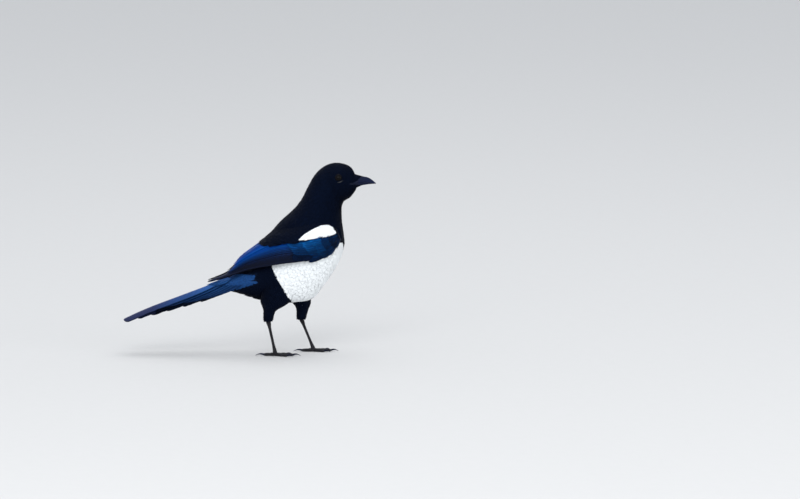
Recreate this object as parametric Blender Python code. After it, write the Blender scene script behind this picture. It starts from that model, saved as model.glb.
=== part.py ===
"""A Eurasian magpie, life size, standing with its tail held low.

It faces +X with its right side towards -Y. The origin lies on the ground midway
between the tips of the bill and the tail. Sizes below are in millimetres, and
become metres as the points are placed.
"""

import math
import random

import bmesh
import bpy
from mathutils import Matrix, Vector

MM = 0.001
GAP = 0.3
SIDES = {"right": -1, "left": 1}
SHARP_ANGLE = math.radians(38)

# Body rings: number, back (x, z), breast (x, z), half the width, and how far below
# the middle the widest place lies, as a share of half the depth.
BODY_RINGS = (
    (0, 149.6, 255.4, 152.2, 236.0, 7.2, 0.00),
    (1, 143.6, 264.1, 147.8, 230.0, 12.0, 0.04),
    (2, 135.1, 269.1, 142.0, 224.0, 16.5, 0.08),
    (3, 125.3, 271.3, 134.0, 219.0, 19.0, 0.08),
    (4, 114.0, 269.9, 130.5, 212.0, 20.0, 0.08),
    (5, 102.7, 264.1, 130.0, 204.0, 20.5, 0.05),
    (6, 92.0, 253.0, 130.2, 195.8, 21.5, 0.02),
    (7, 83.2, 237.4, 131.0, 187.0, 24.0, 0.00),
    (8, 75.2, 221.6, 132.5, 176.0, 27.5, 0.00),
    (9, 67.0, 209.6, 134.0, 165.0, 31.0, 0.00),
    (10, 56.8, 199.6, 134.0, 154.0, 34.0, 0.04),
    (11, 43.6, 187.4, 129.0, 137.0, 35.5, 0.10),
    (12, 30.6, 172.4, 118.0, 116.0, 36.0, 0.14),
    (13, 20.0, 159.6, 104.0, 96.0, 35.0, 0.14),
    (14, 11.0, 149.6, 88.0, 78.0, 33.0, 0.12),
    (15, 1.0, 139.6, 60.0, 73.6, 28.5, 0.08),
    (16, -9.0, 128.4, 29.0, 75.8, 23.5, 0.04),
    (17, -19.0, 117.4, 1.0, 82.6, 17.5, 0.00),
    (18, -32.0, 107.0, -24.0, 88.5, 11.5, 0.00),
)
BODY_SIDES = 22
BODY_STEPS = 36
HEAD_SIDES = 24
HEAD_STEPS = 40
HEAD_FRONT = 149.5
HEAD_CUT = 5.0
NECK_CUT = 9.4
TAIL_CUT = 16.6
BODY_CLEARANCE = 0.4

# Eyes and lids
EYE_CENTRE = (126.0, 14.8, 252.0)
EYE_RADIUS = 5.2
EYE_AXIS = (0.14, 1.0, 0.08)
EYE_SEGMENTS = 12
# Lid: its radius and height over the eye's centre, at its foot and at its rim
LID_RADII = (5.9, 4.6)
LID_HEIGHTS = (2.0, 4.45)

# Bill rings: x, ridge, mouth line, lower edge, half the width above and below
BILL_RINGS = (
    (149.8, 252.6, 243.2, 236.6, 6.2, 5.5),
    (156.3, 252.2, 243.5, 238.6, 5.2, 4.5),
    (163.4, 251.6, 243.7, 240.0, 4.0, 3.3),
    (168.5, 250.2, 243.3, 240.8, 3.0, 2.3),
    (173.0, 247.4, 242.6, 241.2, 2.0, 1.2),
    (176.4, 244.6, 242.0, 241.4, 1.2, 0.6),
    (178.6, 242.8, 241.7, 241.4, 0.5, 0.3),
)
BILL_SIDES = 12
BILL_STEPS = 9
LOWER_BILL_END = 176.2
GAPE = (139.0, 241.5)
MOUTH_HEIGHT = 0.8
MOUTH_DEPTH = 1.4
HEAD_REACH = 24.0
NOSTRIL_AT = (156.5, 1.05)
NOSTRIL_SIZE = (0.7, 0.6, 1.6)

# Bristles laid forward over the bill's base
BRISTLE_ANGLES = (0.35, 0.85, 1.25, 1.56)
BRISTLE_REACH = (143.0, 158.5)
BRISTLE_SPREAD = 0.26
BRISTLE_HEIGHTS = (2.2, 0.95)
BRISTLE_THICKNESS = 0.6

# Folded wing. Its chart runs u back from the bend and v round the wing from its
# lower edge. Stations: u, then height over the axis and distance from the middle
# plane of the lower and of the upper edge, and how far the wing bulges between them.
WING_BEND = (129.0, 165.0)
WING_SLOPE = math.radians(18.36)
WING_STATIONS = (
    (0, 1.0, 22.0, 17.0, 24.0, 3.0),
    (20, -10.5, 34.0, 30.0, 27.0, 6.0),
    (45, -13.3, 41.0, 33.0, 26.0, 8.0),
    (83, -6.4, 43.0, 36.0, 12.0, 9.5),
    (106, -3.7, 38.0, 30.0, 7.0, 9.0),
    (128, -1.2, 31.0, 22.5, 5.0, 7.5),
    (144, -0.8, 25.0, 16.5, 4.5, 5.5),
    (158, -1.5, 20.5, 8.0, 5.0, 3.0),
    (172, -2.2, 17.0, 3.6, 6.0, 1.6),
    (197, -3.0, 12.0, 1.6, 6.0, 0.9),
)
WING_INNER_LIMIT = 0.5
# Core under the feathers: u, depth, and the shares of the arc where it starts and ends
WING_CORE = (
    (-4.0, 4.0, 0.30, 0.70),
    (4.0, 7.0, 0.06, 0.94),
    (40.0, 8.0, 0.03, 1.00),
    (90.0, 8.0, 0.03, 1.00),
    (130.0, 5.5, 0.04, 1.00),
    (150.0, 4.2, 0.06, 0.95),
    (168.0, 3.0, 0.12, 0.80),
    (184.0, 1.8, 0.25, 0.65),
)
WING_CORE_CUTS = (8, 3)
WING_CORE_SINK = 0.7

# Feathers of the wing by tier: roots' u, roots' share of the arc, tips' u, tips'
# share of the arc, width, lift, fall per millimetre of width, thickness at the root
# and at the tip, and the cuts along and across a vane.
WING_TIERS = {
    "primaries": (
        (46, 52), (0.00, 0.20), (166, 186, 197, 196, 190, 180), (0.03, 0.36),
        10.0, 0.6, 0.20, (1.6, 0.8), (3, 0),
    ),
    "secondaries": (
        (58, 58), (0.25, 0.60), (168, 164, 160, 157, 154, 150), (0.34, 0.62),
        11.5, 0.9, 0.13, (2.2, 1.5), (3, 0),
    ),
    "tertials": (
        (56, 52), (0.64, 0.84), (155, 148, 139), (0.60, 0.76),
        12.5, 1.5, 0.10, (3.0, 2.3), (3, 0),
    ),
    "primary_coverts": (
        (16, 20), (-0.02, 0.12), (70, 66, 62), (0.05, 0.18),
        10.0, 1.2, 0.18, (2.4, 1.9), (2, 0),
    ),
    "greater_coverts": (
        (26, 34), (0.20, 0.84), (68, 71, 72, 72, 70, 67, 62), (0.22, 0.82),
        10.5, 1.9, 0.14, (3.0, 2.6), (2, 0),
    ),
    "median_coverts": (
        (12, 18), (0.10, 0.80), (41, 45, 46, 45, 42), (0.12, 0.78),
        12.0, 2.4, 0.12, (3.4, 3.0), (2, 0),
    ),
    "lesser_coverts": (
        (-2, 2), (0.06, 0.72), (22, 26, 27, 25), (0.04, 0.76),
        12.5, 2.7, 0.12, (3.8, 3.4), (2, 0),
    ),
    "alula": (
        (6, 8), (-0.05, 0.02), (50, 45), (-0.05, 0.04),
        6.0, 1.9, 0.16, (2.8, 2.4), (2, 0),
    ),
}
VANE_ARC_SHARE = 0.42
FEATHER_SEED = 11
TIP_JITTER = 1.6

# White feathers over the shoulder
SCAPULARS = (
    (-2, 12), (0.62, 0.92), (28, 38, 47, 55, 56, 50), (0.56, 0.86),
    10.5, 3.6, 0.06, (4.6, 2.6), (2, 0),
)

# Tail: its ridge's start, slope and length, the fall of its folded roof, and its
# pairs of feathers from the middle pair outwards.
TAIL_START = (-22.0, 110.5)
TAIL_SLOPE = math.radians(20.5)
TAIL_LENGTH = 167.0
TAIL_ROOF = math.radians(22)
TAIL_ROUNDING = 5.0
TAIL_DROOP_FROM = 110.0
TAIL_DROOP = 3.0
TAIL_SHORTER = (0.0, 18.0, 38.0, 60.0, 84.0, 110.0)
TAIL_ROOTS = (0.0, -24.0)
TAIL_CENTRES = (4.6, 16.0)
TAIL_ROOT_CENTRES = (1.5, 8.0)
TAIL_WIDTHS = (20.0, 17.0)
TAIL_LAYER = 0.88
TAIL_VANE = 1.0
TAIL_CUTS = (4, 0)
TAIL_COVERTS = {
    "above": ((-8, 0), (-8.0, -4.0, 0.0, 4.0, 8.0), (26, 32, 37, 33, 27), 9.0, (0.9, 0.9)),
    "below": ((-12, -4), (-6.0, 0.0, 6.0), (33, 40, 33), 12.0, (-13.0, -6.5)),
}
TAIL_COVERT_CUTS = (2, 0)
TAIL_COVERT_THICKNESS = 1.4
TAIL_COVERT_FALL = 0.035

# Feathered thighs: height, x, half the length, half the width, distance from the middle
THIGH_RINGS = {
    "right": (
        (49.9, 27.0, 4.4, 4.0, 22.0),
        (54.0, 27.4, 5.4, 4.8, 22.0),
        (60.0, 28.0, 7.0, 6.0, 22.0),
        (65.0, 29.6, 9.2, 7.4, 22.0),
        (70.0, 33.5, 14.5, 9.0, 22.0),
        (77.0, 37.0, 20.5, 10.6, 22.0),
        (87.0, 40.0, 22.0, 11.4, 21.5),
        (100.0, 42.0, 20.0, 9.5, 19.0),
        (110.0, 44.0, 14.0, 7.0, 15.0),
    ),
    "left": (
        (46.5, 73.2, 4.4, 4.0, 20.0),
        (51.0, 73.6, 5.4, 4.8, 20.0),
        (57.0, 74.4, 7.2, 6.0, 20.0),
        (63.0, 75.0, 9.4, 7.4, 20.0),
        (70.0, 73.6, 13.0, 9.0, 20.0),
        (80.0, 69.5, 17.0, 10.8, 20.0),
        (92.0, 63.0, 19.0, 11.0, 19.0),
        (106.0, 58.0, 15.0, 8.5, 15.0),
    ),
}
THIGH_SIDES = 14
THIGH_STEPS = 11

# Lower legs: x of the ankle and of the foot. Rows: share of the way down, half the
# length and half the width.
ANKLE = {"right": 26.8, "left": 73.0}
FOOT_AT = {"right": 36.4, "left": 89.5}
TARSUS_ROWS = (
    (0.0, 3.1, 2.8),
    (0.08, 3.3, 2.9),
    (0.2, 2.3, 2.0),
    (0.5, 1.95, 1.7),
    (0.8, 2.1, 1.9),
    (1.0, 3.0, 2.6),
)
TARSUS_FOOT = 5.6
TARSUS_SIDES = 10
TARSUS_STEPS = 8

# Toes: turn outwards, length, radius at the root and at the end, number of pads,
# and the claw's length
TOES = {
    "inner": (math.radians(-24), 18.0, (2.3, 1.75), 2, 9.0),
    "middle": (math.radians(2), 26.0, (2.4, 1.8), 3, 10.0),
    "outer": (math.radians(26), 19.5, (2.2, 1.7), 3, 8.5),
    "hind": (math.radians(183), 15.5, (2.5, 1.95), 2, 12.0),
}
TOE_SIDES = 8
TOE_STEPS = 5
TOE_SINK = 0.24
PAD_SWELL = 0.14
SOLE_RADIUS = 3.5
CLAW_SIDES = 6
CLAW_STEPS = 5
CLAW_RADIUS = 0.8
CLAW_ARCH = 1.5
CLAW_TIP = (0.18, 0.42)

BLACK_FEATHERS = ("Black feathers", (0.010, 0.011, 0.016), 0.55)
BLUE_FEATHERS = ("Blue feathers", (0.012, 0.045, 0.130), 0.42)
TAIL_FEATHERS = ("Tail feathers", (0.010, 0.030, 0.055), 0.42)
WHITE_FEATHERS = ("White feathers", (0.760, 0.770, 0.780), 0.70)
HORN = ("Black horn", (0.018, 0.020, 0.026), 0.35)
LEG_SKIN = ("Leg skin", (0.016, 0.016, 0.018), 0.50)
EYE_SURFACE = ("Dark eye", (0.010, 0.007, 0.005), 0.06)


def mix(first, last, share):
    """The value that lies this share of the way from first to last."""
    return first + (last - first) * share


def spaced(ends, index, count):
    """The value of one of count members spread evenly between two ends."""
    return mix(ends[0], ends[1], index / max(count - 1, 1))


def read_rows(rows, key):
    """A smooth curve through rows that each start with their key."""
    last = len(rows) - 1
    place = next((i for i in range(last - 1) if key < rows[i + 1][0]), last - 1)
    before = rows[max(place - 1, 0)]
    start, end = rows[place], rows[place + 1]
    after = rows[min(place + 2, last)]
    span = end[0] - start[0]
    share = (key - start[0]) / span
    values = []
    for column in range(1, len(start)):
        leaving = (end[column] - before[column]) / (end[0] - before[0]) * span
        coming = (after[column] - start[column]) / (after[0] - start[0]) * span
        if share < 0:
            values.append(start[column] + leaving * share)
        elif share > 1:
            values.append(end[column] + coming * (share - 1))
        else:
            values.append(
                start[column] * (1 - 3 * share**2 + 2 * share**3)
                + leaving * (share - 2 * share**2 + share**3)
                + end[column] * (3 * share**2 - 2 * share**3)
                + coming * (share**3 - share**2)
            )
    return values


def make_material(look):
    """A plain Principled material from its name, colour and roughness."""
    name, colour, roughness = look
    material = bpy.data.materials.get(name)
    if material is None:
        material = bpy.data.materials.new(name)
        material.use_nodes = True
        shader = material.node_tree.nodes["Principled BSDF"]
        shader.inputs["Base Color"].default_value = (*colour, 1.0)
        shader.inputs["Roughness"].default_value = roughness
        shader.inputs["Metallic"].default_value = 0.0
    return material


def face_outwards(bm):
    """Turn every face of one closed shape outwards."""
    bmesh.ops.recalc_face_normals(bm, faces=bm.faces)
    if bm.calc_volume(signed=True) < 0:
        bmesh.ops.reverse_faces(bm, faces=bm.faces)


def to_object(name, bm, look):
    """An object in the scene from a finished bmesh."""
    face_outwards(bm)
    bmesh.ops.triangulate(bm, faces=bm.faces, quad_method="FIXED")
    mesh = bpy.data.meshes.new(name)
    bm.to_mesh(mesh)
    bm.free()
    mesh.materials.append(make_material(look))
    piece = bpy.data.objects.new(name, mesh)
    bpy.context.scene.collection.objects.link(piece)
    return piece


def tube(name, look, sides, steps, place):
    """A closed tube whose points are place(share along, angle round)."""
    bm = bmesh.new()
    bmesh.ops.create_cone(
        bm, cap_ends=True, segments=sides, radius1=1, radius2=1, depth=1
    )
    upright = [e for e in bm.edges if abs(e.verts[0].co.z - e.verts[1].co.z) > 0.5]
    bmesh.ops.subdivide_edges(bm, edges=upright, cuts=steps - 1)
    for vert in bm.verts:
        angle = math.atan2(vert.co.y, vert.co.x)
        vert.co = Vector(place(vert.co.z + 0.5, angle)) * MM
    return to_object(name, bm, look)


def slab(name, look, cuts, place):
    """A closed slab whose points are place(share along, -1 to 1 across, layer 0 or 1).

    Its two wide faces are split into triangles alike, so that they never cross.
    """
    bm = bmesh.new()
    bmesh.ops.create_cube(bm, size=1)
    for axis, count in enumerate(cuts):
        lengthwise = [
            e for e in bm.edges if abs((e.verts[0].co - e.verts[1].co)[axis]) > 0.01
        ]
        bmesh.ops.subdivide_edges(bm, edges=lengthwise, cuts=count)
    for face in list(bm.faces):
        corners = sorted(face.verts, key=lambda v: v.co.x + v.co.y + 0.1 * v.co.z)
        bmesh.utils.face_split(face, corners[0], corners[3])
    for vert in bm.verts:
        along, across, layer = vert.co.x + 0.5, vert.co.y * 2, vert.co.z + 0.5
        vert.co = Vector(place(along, across, layer)) * MM
    return to_object(name, bm, look)


def ball(name, look, centre, axis, radii, segments):
    """An ellipsoid whose pole lies along an axis."""
    bm = bmesh.new()
    bmesh.ops.create_uvsphere(
        bm, u_segments=segments, v_segments=segments // 2, radius=1
    )
    turn = Vector(axis).to_track_quat("Z", "X").to_matrix().to_4x4()
    shape = (
        Matrix.Translation(Vector(centre) * MM)
        @ turn
        @ Matrix.Diagonal((*[r * MM for r in radii], 1))
    )
    bmesh.ops.transform(bm, matrix=shape, verts=bm.verts)
    return to_object(name, bm, look)


def shells(bm):
    """The separate closed surfaces of a mesh, as sets of faces."""
    left = set(bm.faces)
    while left:
        queue = [left.pop()]
        shell = set(queue)
        while queue:
            face = queue.pop()
            near = {f for e in face.edges for f in e.link_faces} & left
            left -= near
            shell |= near
            queue.extend(near)
        yield shell


def shell_volume(shell):
    """The signed volume inside one shell of triangles."""
    total = 0.0
    for face in shell:
        a, b, c = (v.co for v in face.verts)
        total += a.dot(b.cross(c)) / 6
    return total


def keep_largest_shell(piece):
    """Leave the piece one closed surface, the largest of those it has."""
    bm = bmesh.new()
    bm.from_mesh(piece.data)
    bmesh.ops.triangulate(bm, faces=bm.faces)
    found = list(shells(bm))
    largest = max(found, key=lambda shell: abs(shell_volume(shell)))
    others = [face for shell in found if shell is not largest for face in shell]
    bmesh.ops.delete(bm, geom=others, context="FACES")
    bm.to_mesh(piece.data)
    bm.free()


def combine(piece, others, operation):
    """Join or cut a piece with other closed solids, which are then removed."""
    group = bpy.data.collections.new("Operands")
    bpy.context.scene.collection.children.link(group)
    for other in others:
        group.objects.link(other)
    change = piece.modifiers.new(operation.title(), "BOOLEAN")
    change.operation = operation
    change.operand_type = "COLLECTION"
    change.collection = group
    change.solver = "EXACT"
    view = bpy.context.evaluated_depsgraph_get()
    mesh = bpy.data.meshes.new_from_object(piece.evaluated_get(view))
    piece.modifiers.clear()
    before = piece.data
    mesh.name = before.name
    piece.data = mesh
    bpy.data.meshes.remove(before)
    for other in list(others):
        bpy.data.objects.remove(other)
    bpy.data.collections.remove(group)
    keep_largest_shell(piece)
    return piece


def finish(piece):
    """Shade a finished piece smooth, with its creases kept sharp."""
    piece.data.shade_smooth()
    piece.data.set_sharp_from_angle(angle=SHARP_ANGLE)
    return piece


def body_point(ring_number, angle, grow=0.0):
    """A point of the body's surface; angle 0 is the back and pi the breast."""
    back_x, back_z, breast_x, breast_z, half_width, low = read_rows(
        BODY_RINGS, ring_number
    )
    middle = Vector(((back_x + breast_x) / 2, 0, (back_z + breast_z) / 2))
    up = Vector(((back_x - breast_x) / 2, 0, (back_z - breast_z) / 2))
    up += up.normalized() * grow
    rise = math.cos(angle) - low * math.sin(angle) ** 2
    return middle + up * rise + Vector((0, (half_width + grow) * math.sin(angle), 0))


def body_tube(name, look, grow=0.0, sides=BODY_SIDES, steps=BODY_STEPS):
    """The whole body from the bill's root to the root of the tail."""
    last = BODY_RINGS[-1][0]

    def place(along, angle):
        return body_point(along * last, angle, grow)

    return tube(name, look, sides, steps, place)


def ring_plane(ring_number):
    """The plane of a body ring: a point of it and the direction towards the tail."""
    back = body_point(ring_number, 0)
    breast = body_point(ring_number, math.pi)
    return breast, (back - breast).cross(Vector((0, 1, 0))).normalized()


def cut_plane(piece, point, away):
    """Cut off what lies beyond a plane, and close the cut with a flat face."""
    bm = bmesh.new()
    bm.from_mesh(piece.data)
    bmesh.ops.bisect_plane(
        bm,
        geom=bm.verts[:] + bm.edges[:] + bm.faces[:],
        dist=1e-7,
        plane_co=point * MM,
        plane_no=away,
        clear_outer=True,
    )
    rim = [e for e in bm.edges if e.is_boundary]
    bmesh.ops.holes_fill(bm, edges=rim, sides=0)
    face_outwards(bm)
    bmesh.ops.triangulate(bm, faces=bm.faces)
    bm.to_mesh(piece.data)
    bm.free()
    return piece


def body_part(name, look, first_ring, last_ring, sides=BODY_SIDES, steps=BODY_STEPS):
    """The body's length between two ring planes, with half a gap left at each."""
    piece = body_tube(name, look, 0.0, sides, steps)
    if first_ring is not None:
        point, backwards = ring_plane(first_ring)
        cut_plane(piece, point + backwards * GAP / 2, -backwards)
    point, backwards = ring_plane(last_ring)
    return cut_plane(piece, point - backwards * GAP / 2, backwards)


def mirrored(point, side):
    """A point given for the left side, moved to the asked side."""
    return Vector((point[0], point[1] * side, point[2]))


def eye_axis(side):
    return mirrored(Vector(EYE_AXIS).normalized(), side)


def make_eye(name, side, grow=0.0):
    centre = mirrored(EYE_CENTRE, side)
    radius = EYE_RADIUS + grow
    return ball(name, EYE_SURFACE, centre, eye_axis(side), (radius,) * 3, EYE_SEGMENTS)


def make_lid(side):
    """The raised collar of lid that frames an eye."""
    turn = eye_axis(side).to_track_quat("Z", "X")

    def place(along, angle):
        radius = mix(*LID_RADII, along)
        out = Vector((math.cos(angle), math.sin(angle), 0)) * radius
        height = Vector((0, 0, mix(*LID_HEIGHTS, along)))
        return mirrored(EYE_CENTRE, side) + turn @ (out + height)

    return tube("Lid", BLACK_FEATHERS, EYE_SEGMENTS, 1, place)


def upper_bill_point(x, angle, grow=0.0):
    """A point of the upper bill; angle 0 is the ridge and half pi the cutting edge."""
    ridge, mouth, _, half_width, _ = read_rows(BILL_RINGS, x)
    rise = (ridge - mouth + grow) * max(math.cos(angle), 0.0)
    return Vector((x, (half_width + grow) * math.sin(angle), mouth + GAP / 2 + rise))


def lower_bill_point(x, angle):
    """A point of the lower bill; angle 0 is the keel and half pi the cutting edge."""
    _, mouth, keel, _, half_width = read_rows(BILL_RINGS, x)
    fall = (mouth - GAP - keel) * max(math.cos(angle), 0.0)
    return Vector((x, half_width * math.sin(angle), mouth - GAP / 2 - fall))


def make_bill(name, point, end):
    """One half of the bill, from the head's front face to its tip."""
    start = BILL_RINGS[0][0]

    def place(along, angle):
        return point(mix(start, end, 1 - (1 - along) ** 1.3), angle)

    return tube(name, HORN, BILL_SIDES, BILL_STEPS, place)


def make_nostril(side):
    """A nostril's pit in the side of the upper bill."""
    x, angle = NOSTRIL_AT
    centre = upper_bill_point(x, angle * side)
    return ball("Nostril", HORN, centre, (1, 0, 0), NOSTRIL_SIZE, 8)


def make_upper_bill(name):
    bill = make_bill(name, upper_bill_point, BILL_RINGS[-1][0])
    nostrils = [make_nostril(side) for side in SIDES.values()]
    return combine(bill, nostrils, "DIFFERENCE")


def make_bristle(angle, side):
    """A flat tapered lock from the forehead along the bill's side."""

    def place(along, across, layer):
        x = mix(*BRISTLE_REACH, along)
        spread = BRISTLE_SPREAD * (1 - 0.8 * along**2)
        height = mix(*BRISTLE_HEIGHTS, along**0.7)
        thickness = BRISTLE_THICKNESS * (1 - 0.5 * along)
        height += (layer - 0.5) * thickness
        return upper_bill_point(x, (angle + across * spread) * side, height)

    return slab("Bristle", BLACK_FEATHERS, (2, 0, 0), place)


def make_mouth_groove(side):
    """One side of the mouth's line, from the bill's root back to the gape."""

    def place(along, across, layer):
        x = mix(GAPE[0], HEAD_FRONT + 1, along)
        z = mix(GAPE[1], BILL_RINGS[0][2], along)
        height = MOUTH_HEIGHT * mix(0.4, 1.0, along)
        out = mix(1.0, HEAD_REACH, (across + 1) / 2)
        return x, out * side, z + (layer - 0.5) * height

    groove = slab("Mouth", BLACK_FEATHERS, (0, 0, 0), place)
    inside = body_tube("Inside", BLACK_FEATHERS, -MOUTH_DEPTH)
    return combine(groove, [inside], "DIFFERENCE")


def make_head():
    head = body_part("head", BLACK_FEATHERS, None, HEAD_CUT, HEAD_SIDES, HEAD_STEPS)
    cut_plane(head, Vector((HEAD_FRONT, 0, 0)), Vector((1, 0, 0)))
    added = []
    for side in SIDES.values():
        added.append(make_lid(side))
        for angle in BRISTLE_ANGLES:
            added.append(make_bristle(angle, side))
    combine(head, added, "UNION")
    cutters = []
    for side in SIDES.values():
        cutters.append(make_eye("Socket", side, GAP))
        cutters.append(make_mouth_groove(side))
    return combine(head, cutters, "DIFFERENCE")


def wing_point(u, v, height, side):
    """A point of a folded wing's chart, raised by a height."""
    low, low_out, high, high_out, bulge = read_rows(WING_STATIONS, u)
    chord = math.hypot(high - low, high_out - low_out)
    radius = (chord**2 / 4 + bulge**2) / (2 * bulge)
    heading = math.atan2(high_out - low_out, high - low) + math.asin(chord / 2 / radius)
    now = heading - v / radius
    q = low + radius * (math.sin(heading) - math.sin(now)) - height * math.sin(now)
    out = low_out + radius * (math.cos(now) - math.cos(heading)) + height * math.cos(now)
    along = Vector((-math.cos(WING_SLOPE), 0, -math.sin(WING_SLOPE)))
    up = Vector((-math.sin(WING_SLOPE), 0, math.cos(WING_SLOPE)))
    bend = Vector((WING_BEND[0], 0, WING_BEND[1]))
    return bend + along * u + up * q + Vector((0, out * side, 0))


def wing_arc(u):
    """The length round the wing from its lower to its upper edge."""
    low, low_out, high, high_out, bulge = read_rows(WING_STATIONS, u)
    chord = math.hypot(high - low, high_out - low_out)
    radius = (chord**2 / 4 + bulge**2) / (2 * bulge)
    return 2 * radius * math.asin(chord / 2 / radius)


def make_wing_core(side):
    """The folded arm and hand under the feathers."""

    def place(along, across, layer):
        u = mix(WING_CORE[0][0], WING_CORE[-1][0], along)
        depth, start, end = read_rows(WING_CORE, u)
        v = wing_arc(u) * mix(start, end, (across + 1) / 2)
        return wing_point(u, v, mix(-depth, -WING_CORE_SINK, layer), side)

    return slab("Core", BLUE_FEATHERS, (*WING_CORE_CUTS, 0), place)


def vane_outline(share):
    """Half the width of a vane along its length, as a share of its widest."""
    if share < 0.35:
        return mix(0.6, 1.0, math.sin(share / 0.35 * math.pi / 2))
    if share < 0.78:
        return 1.0
    return math.sqrt(1 - 0.95 * ((share - 0.78) / 0.22) ** 2)


def make_tier(tier, side, grow=0.0):
    """The vanes of one tier of a wing, lowest first, each over the one below."""
    roots, root_shares, tips, tip_shares, width, lift, fall, thickness, cuts = tier
    chance = random.Random(FEATHER_SEED)
    vanes = []
    for index in range(len(tips)):
        start = spaced(roots, index, len(tips))
        end = tips[index] + chance.uniform(-TIP_JITTER, TIP_JITTER)
        shares = (
            spaced(root_shares, index, len(tips)),
            spaced(tip_shares, index, len(tips)),
        )

        def place(along, across, layer, start=start, end=end, shares=shares):
            share = 1 - (1 - along) ** 1.5
            u = mix(start - grow, end + grow, share)
            arc = wing_arc(u)
            middle = min(width / 2, arc * VANE_ARC_SHARE)
            half = (middle + grow) * vane_outline(share)
            v = mix(*shares, share) * arc + middle + across * half
            top = lift - fall * middle * (across + 1) + grow
            deep = mix(*thickness, share) + 2 * grow
            return wing_point(u, v, top - (1 - layer) * deep, side)

        vanes.append(slab("Vane", BLUE_FEATHERS, (*cuts, 0), place))
    return vanes


def make_scapulars(name, side):
    """The white feathers over the shoulder, clear of the body."""
    first, *others = make_tier(SCAPULARS, side)
    first.name = name
    first.data.materials[0] = make_material(WHITE_FEATHERS)
    combine(first, others, "UNION")
    body = body_tube("Body", BLACK_FEATHERS, BODY_CLEARANCE)
    return combine(first, [body], "DIFFERENCE")


def make_middle_block(side):
    """What lies past the middle plane, kept clear of the other wing."""

    def place(along, across, layer):
        out = mix(WING_INNER_LIMIT, -60.0, layer)
        return mix(-120.0, 180.0, along), out * side, 150.0 + across * 90.0

    return slab("Middle", BLUE_FEATHERS, (0, 0, 0), place)


def make_wing(name, side):
    wing = make_wing_core(side)
    wing.name = name
    vanes = []
    for tier in WING_TIERS.values():
        vanes.extend(make_tier(tier, side))
    combine(wing, vanes, "UNION")
    cutters = make_tier(SCAPULARS, side, GAP)
    cutters.append(body_tube("Body", BLACK_FEATHERS, BODY_CLEARANCE))
    cutters.append(make_middle_block(side))
    return combine(wing, cutters, "DIFFERENCE")


def tail_point(along, out, height):
    """A point of the folded tail's roof, raised by a height."""
    reach = math.sqrt(out**2 + TAIL_ROUNDING**2)
    drop = math.tan(TAIL_ROOF) * (reach - TAIL_ROUNDING)
    past = max(along - TAIL_DROOP_FROM, 0) / (TAIL_LENGTH - TAIL_DROOP_FROM)
    drop += TAIL_DROOP * past**2
    slope = math.atan(math.tan(TAIL_ROOF) * out / reach)
    backwards = Vector((-math.cos(TAIL_SLOPE), 0, -math.sin(TAIL_SLOPE)))
    up = Vector((-math.sin(TAIL_SLOPE), 0, math.cos(TAIL_SLOPE)))
    start = Vector((TAIL_START[0], 0, TAIL_START[1]))
    lifted = up * (height * math.cos(slope) - drop)
    sideways = Vector((0, out + height * math.sin(slope), 0))
    return start + backwards * along + lifted + sideways


def make_tail_vane(reach, outs, width, tops, thickness, cuts):
    """A vane on the tail's roof, widening from its root to half way along."""

    def place(along, across, layer):
        share = 1 - (1 - along) ** 1.5
        opened = math.sin(min(share / 0.5, 1.0) * math.pi / 2)
        half = width / 2 * vane_outline(share) * mix(0.5, 1.0, opened)
        out = mix(*outs, opened) + across * half
        height = mix(*tops, share) - (1 - layer) * thickness
        return tail_point(mix(*reach, share), out, height)

    return slab("Vane", TAIL_FEATHERS, (*cuts, 0), place)


def make_tail(name):
    """The body's end with six pairs of tail feathers and the coverts at their root."""
    tail = body_tube(name, TAIL_FEATHERS)
    vanes = []
    pairs = len(TAIL_SHORTER)
    for pair in range(pairs):
        width = spaced(TAIL_WIDTHS, pair, pairs)
        reach = (spaced(TAIL_ROOTS, pair, pairs), TAIL_LENGTH - TAIL_SHORTER[pair])
        root_out = spaced(TAIL_ROOT_CENTRES, pair, pairs)
        tip_out = spaced(TAIL_CENTRES, pair, pairs)
        for order, side in enumerate(SIDES.values()):
            layer = 2 * pair + order if pair < 2 else pair + 2
            outs = (root_out * side, tip_out * side)
            tops = (-TAIL_LAYER * layer,) * 2
            vanes.append(make_tail_vane(reach, outs, width, tops, TAIL_VANE, TAIL_CUTS))
    for roots, centres, tips, width, tops in TAIL_COVERTS.values():
        for index, centre in enumerate(centres):
            reach = (spaced(roots, index, len(centres)), tips[index])
            outs = (centre * 0.6, centre)
            lowered = [top - TAIL_COVERT_FALL * abs(centre) for top in tops]
            shape = (lowered, TAIL_COVERT_THICKNESS, TAIL_COVERT_CUTS)
            vanes.append(make_tail_vane(reach, outs, width, *shape))
    combine(tail, vanes, "UNION")
    point, backwards = ring_plane(TAIL_CUT)
    return cut_plane(tail, point + backwards * GAP / 2, -backwards)


def make_thigh(name, side_name):
    """A feathered thigh, from the ankle up to where the body covers it."""
    rows = THIGH_RINGS[side_name]
    side = SIDES[side_name]

    def place(along, angle):
        height = mix(rows[0][0], rows[-1][0], along)
        x, half_length, half_width, out = read_rows(rows, height)
        y = (out + half_width * math.sin(angle)) * side
        return x + half_length * math.cos(angle), y, height

    thigh = tube(name, BLACK_FEATHERS, THIGH_SIDES, THIGH_STEPS, place)
    body = body_tube("Body", BLACK_FEATHERS, BODY_CLEARANCE)
    return combine(thigh, [body], "DIFFERENCE")


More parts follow.
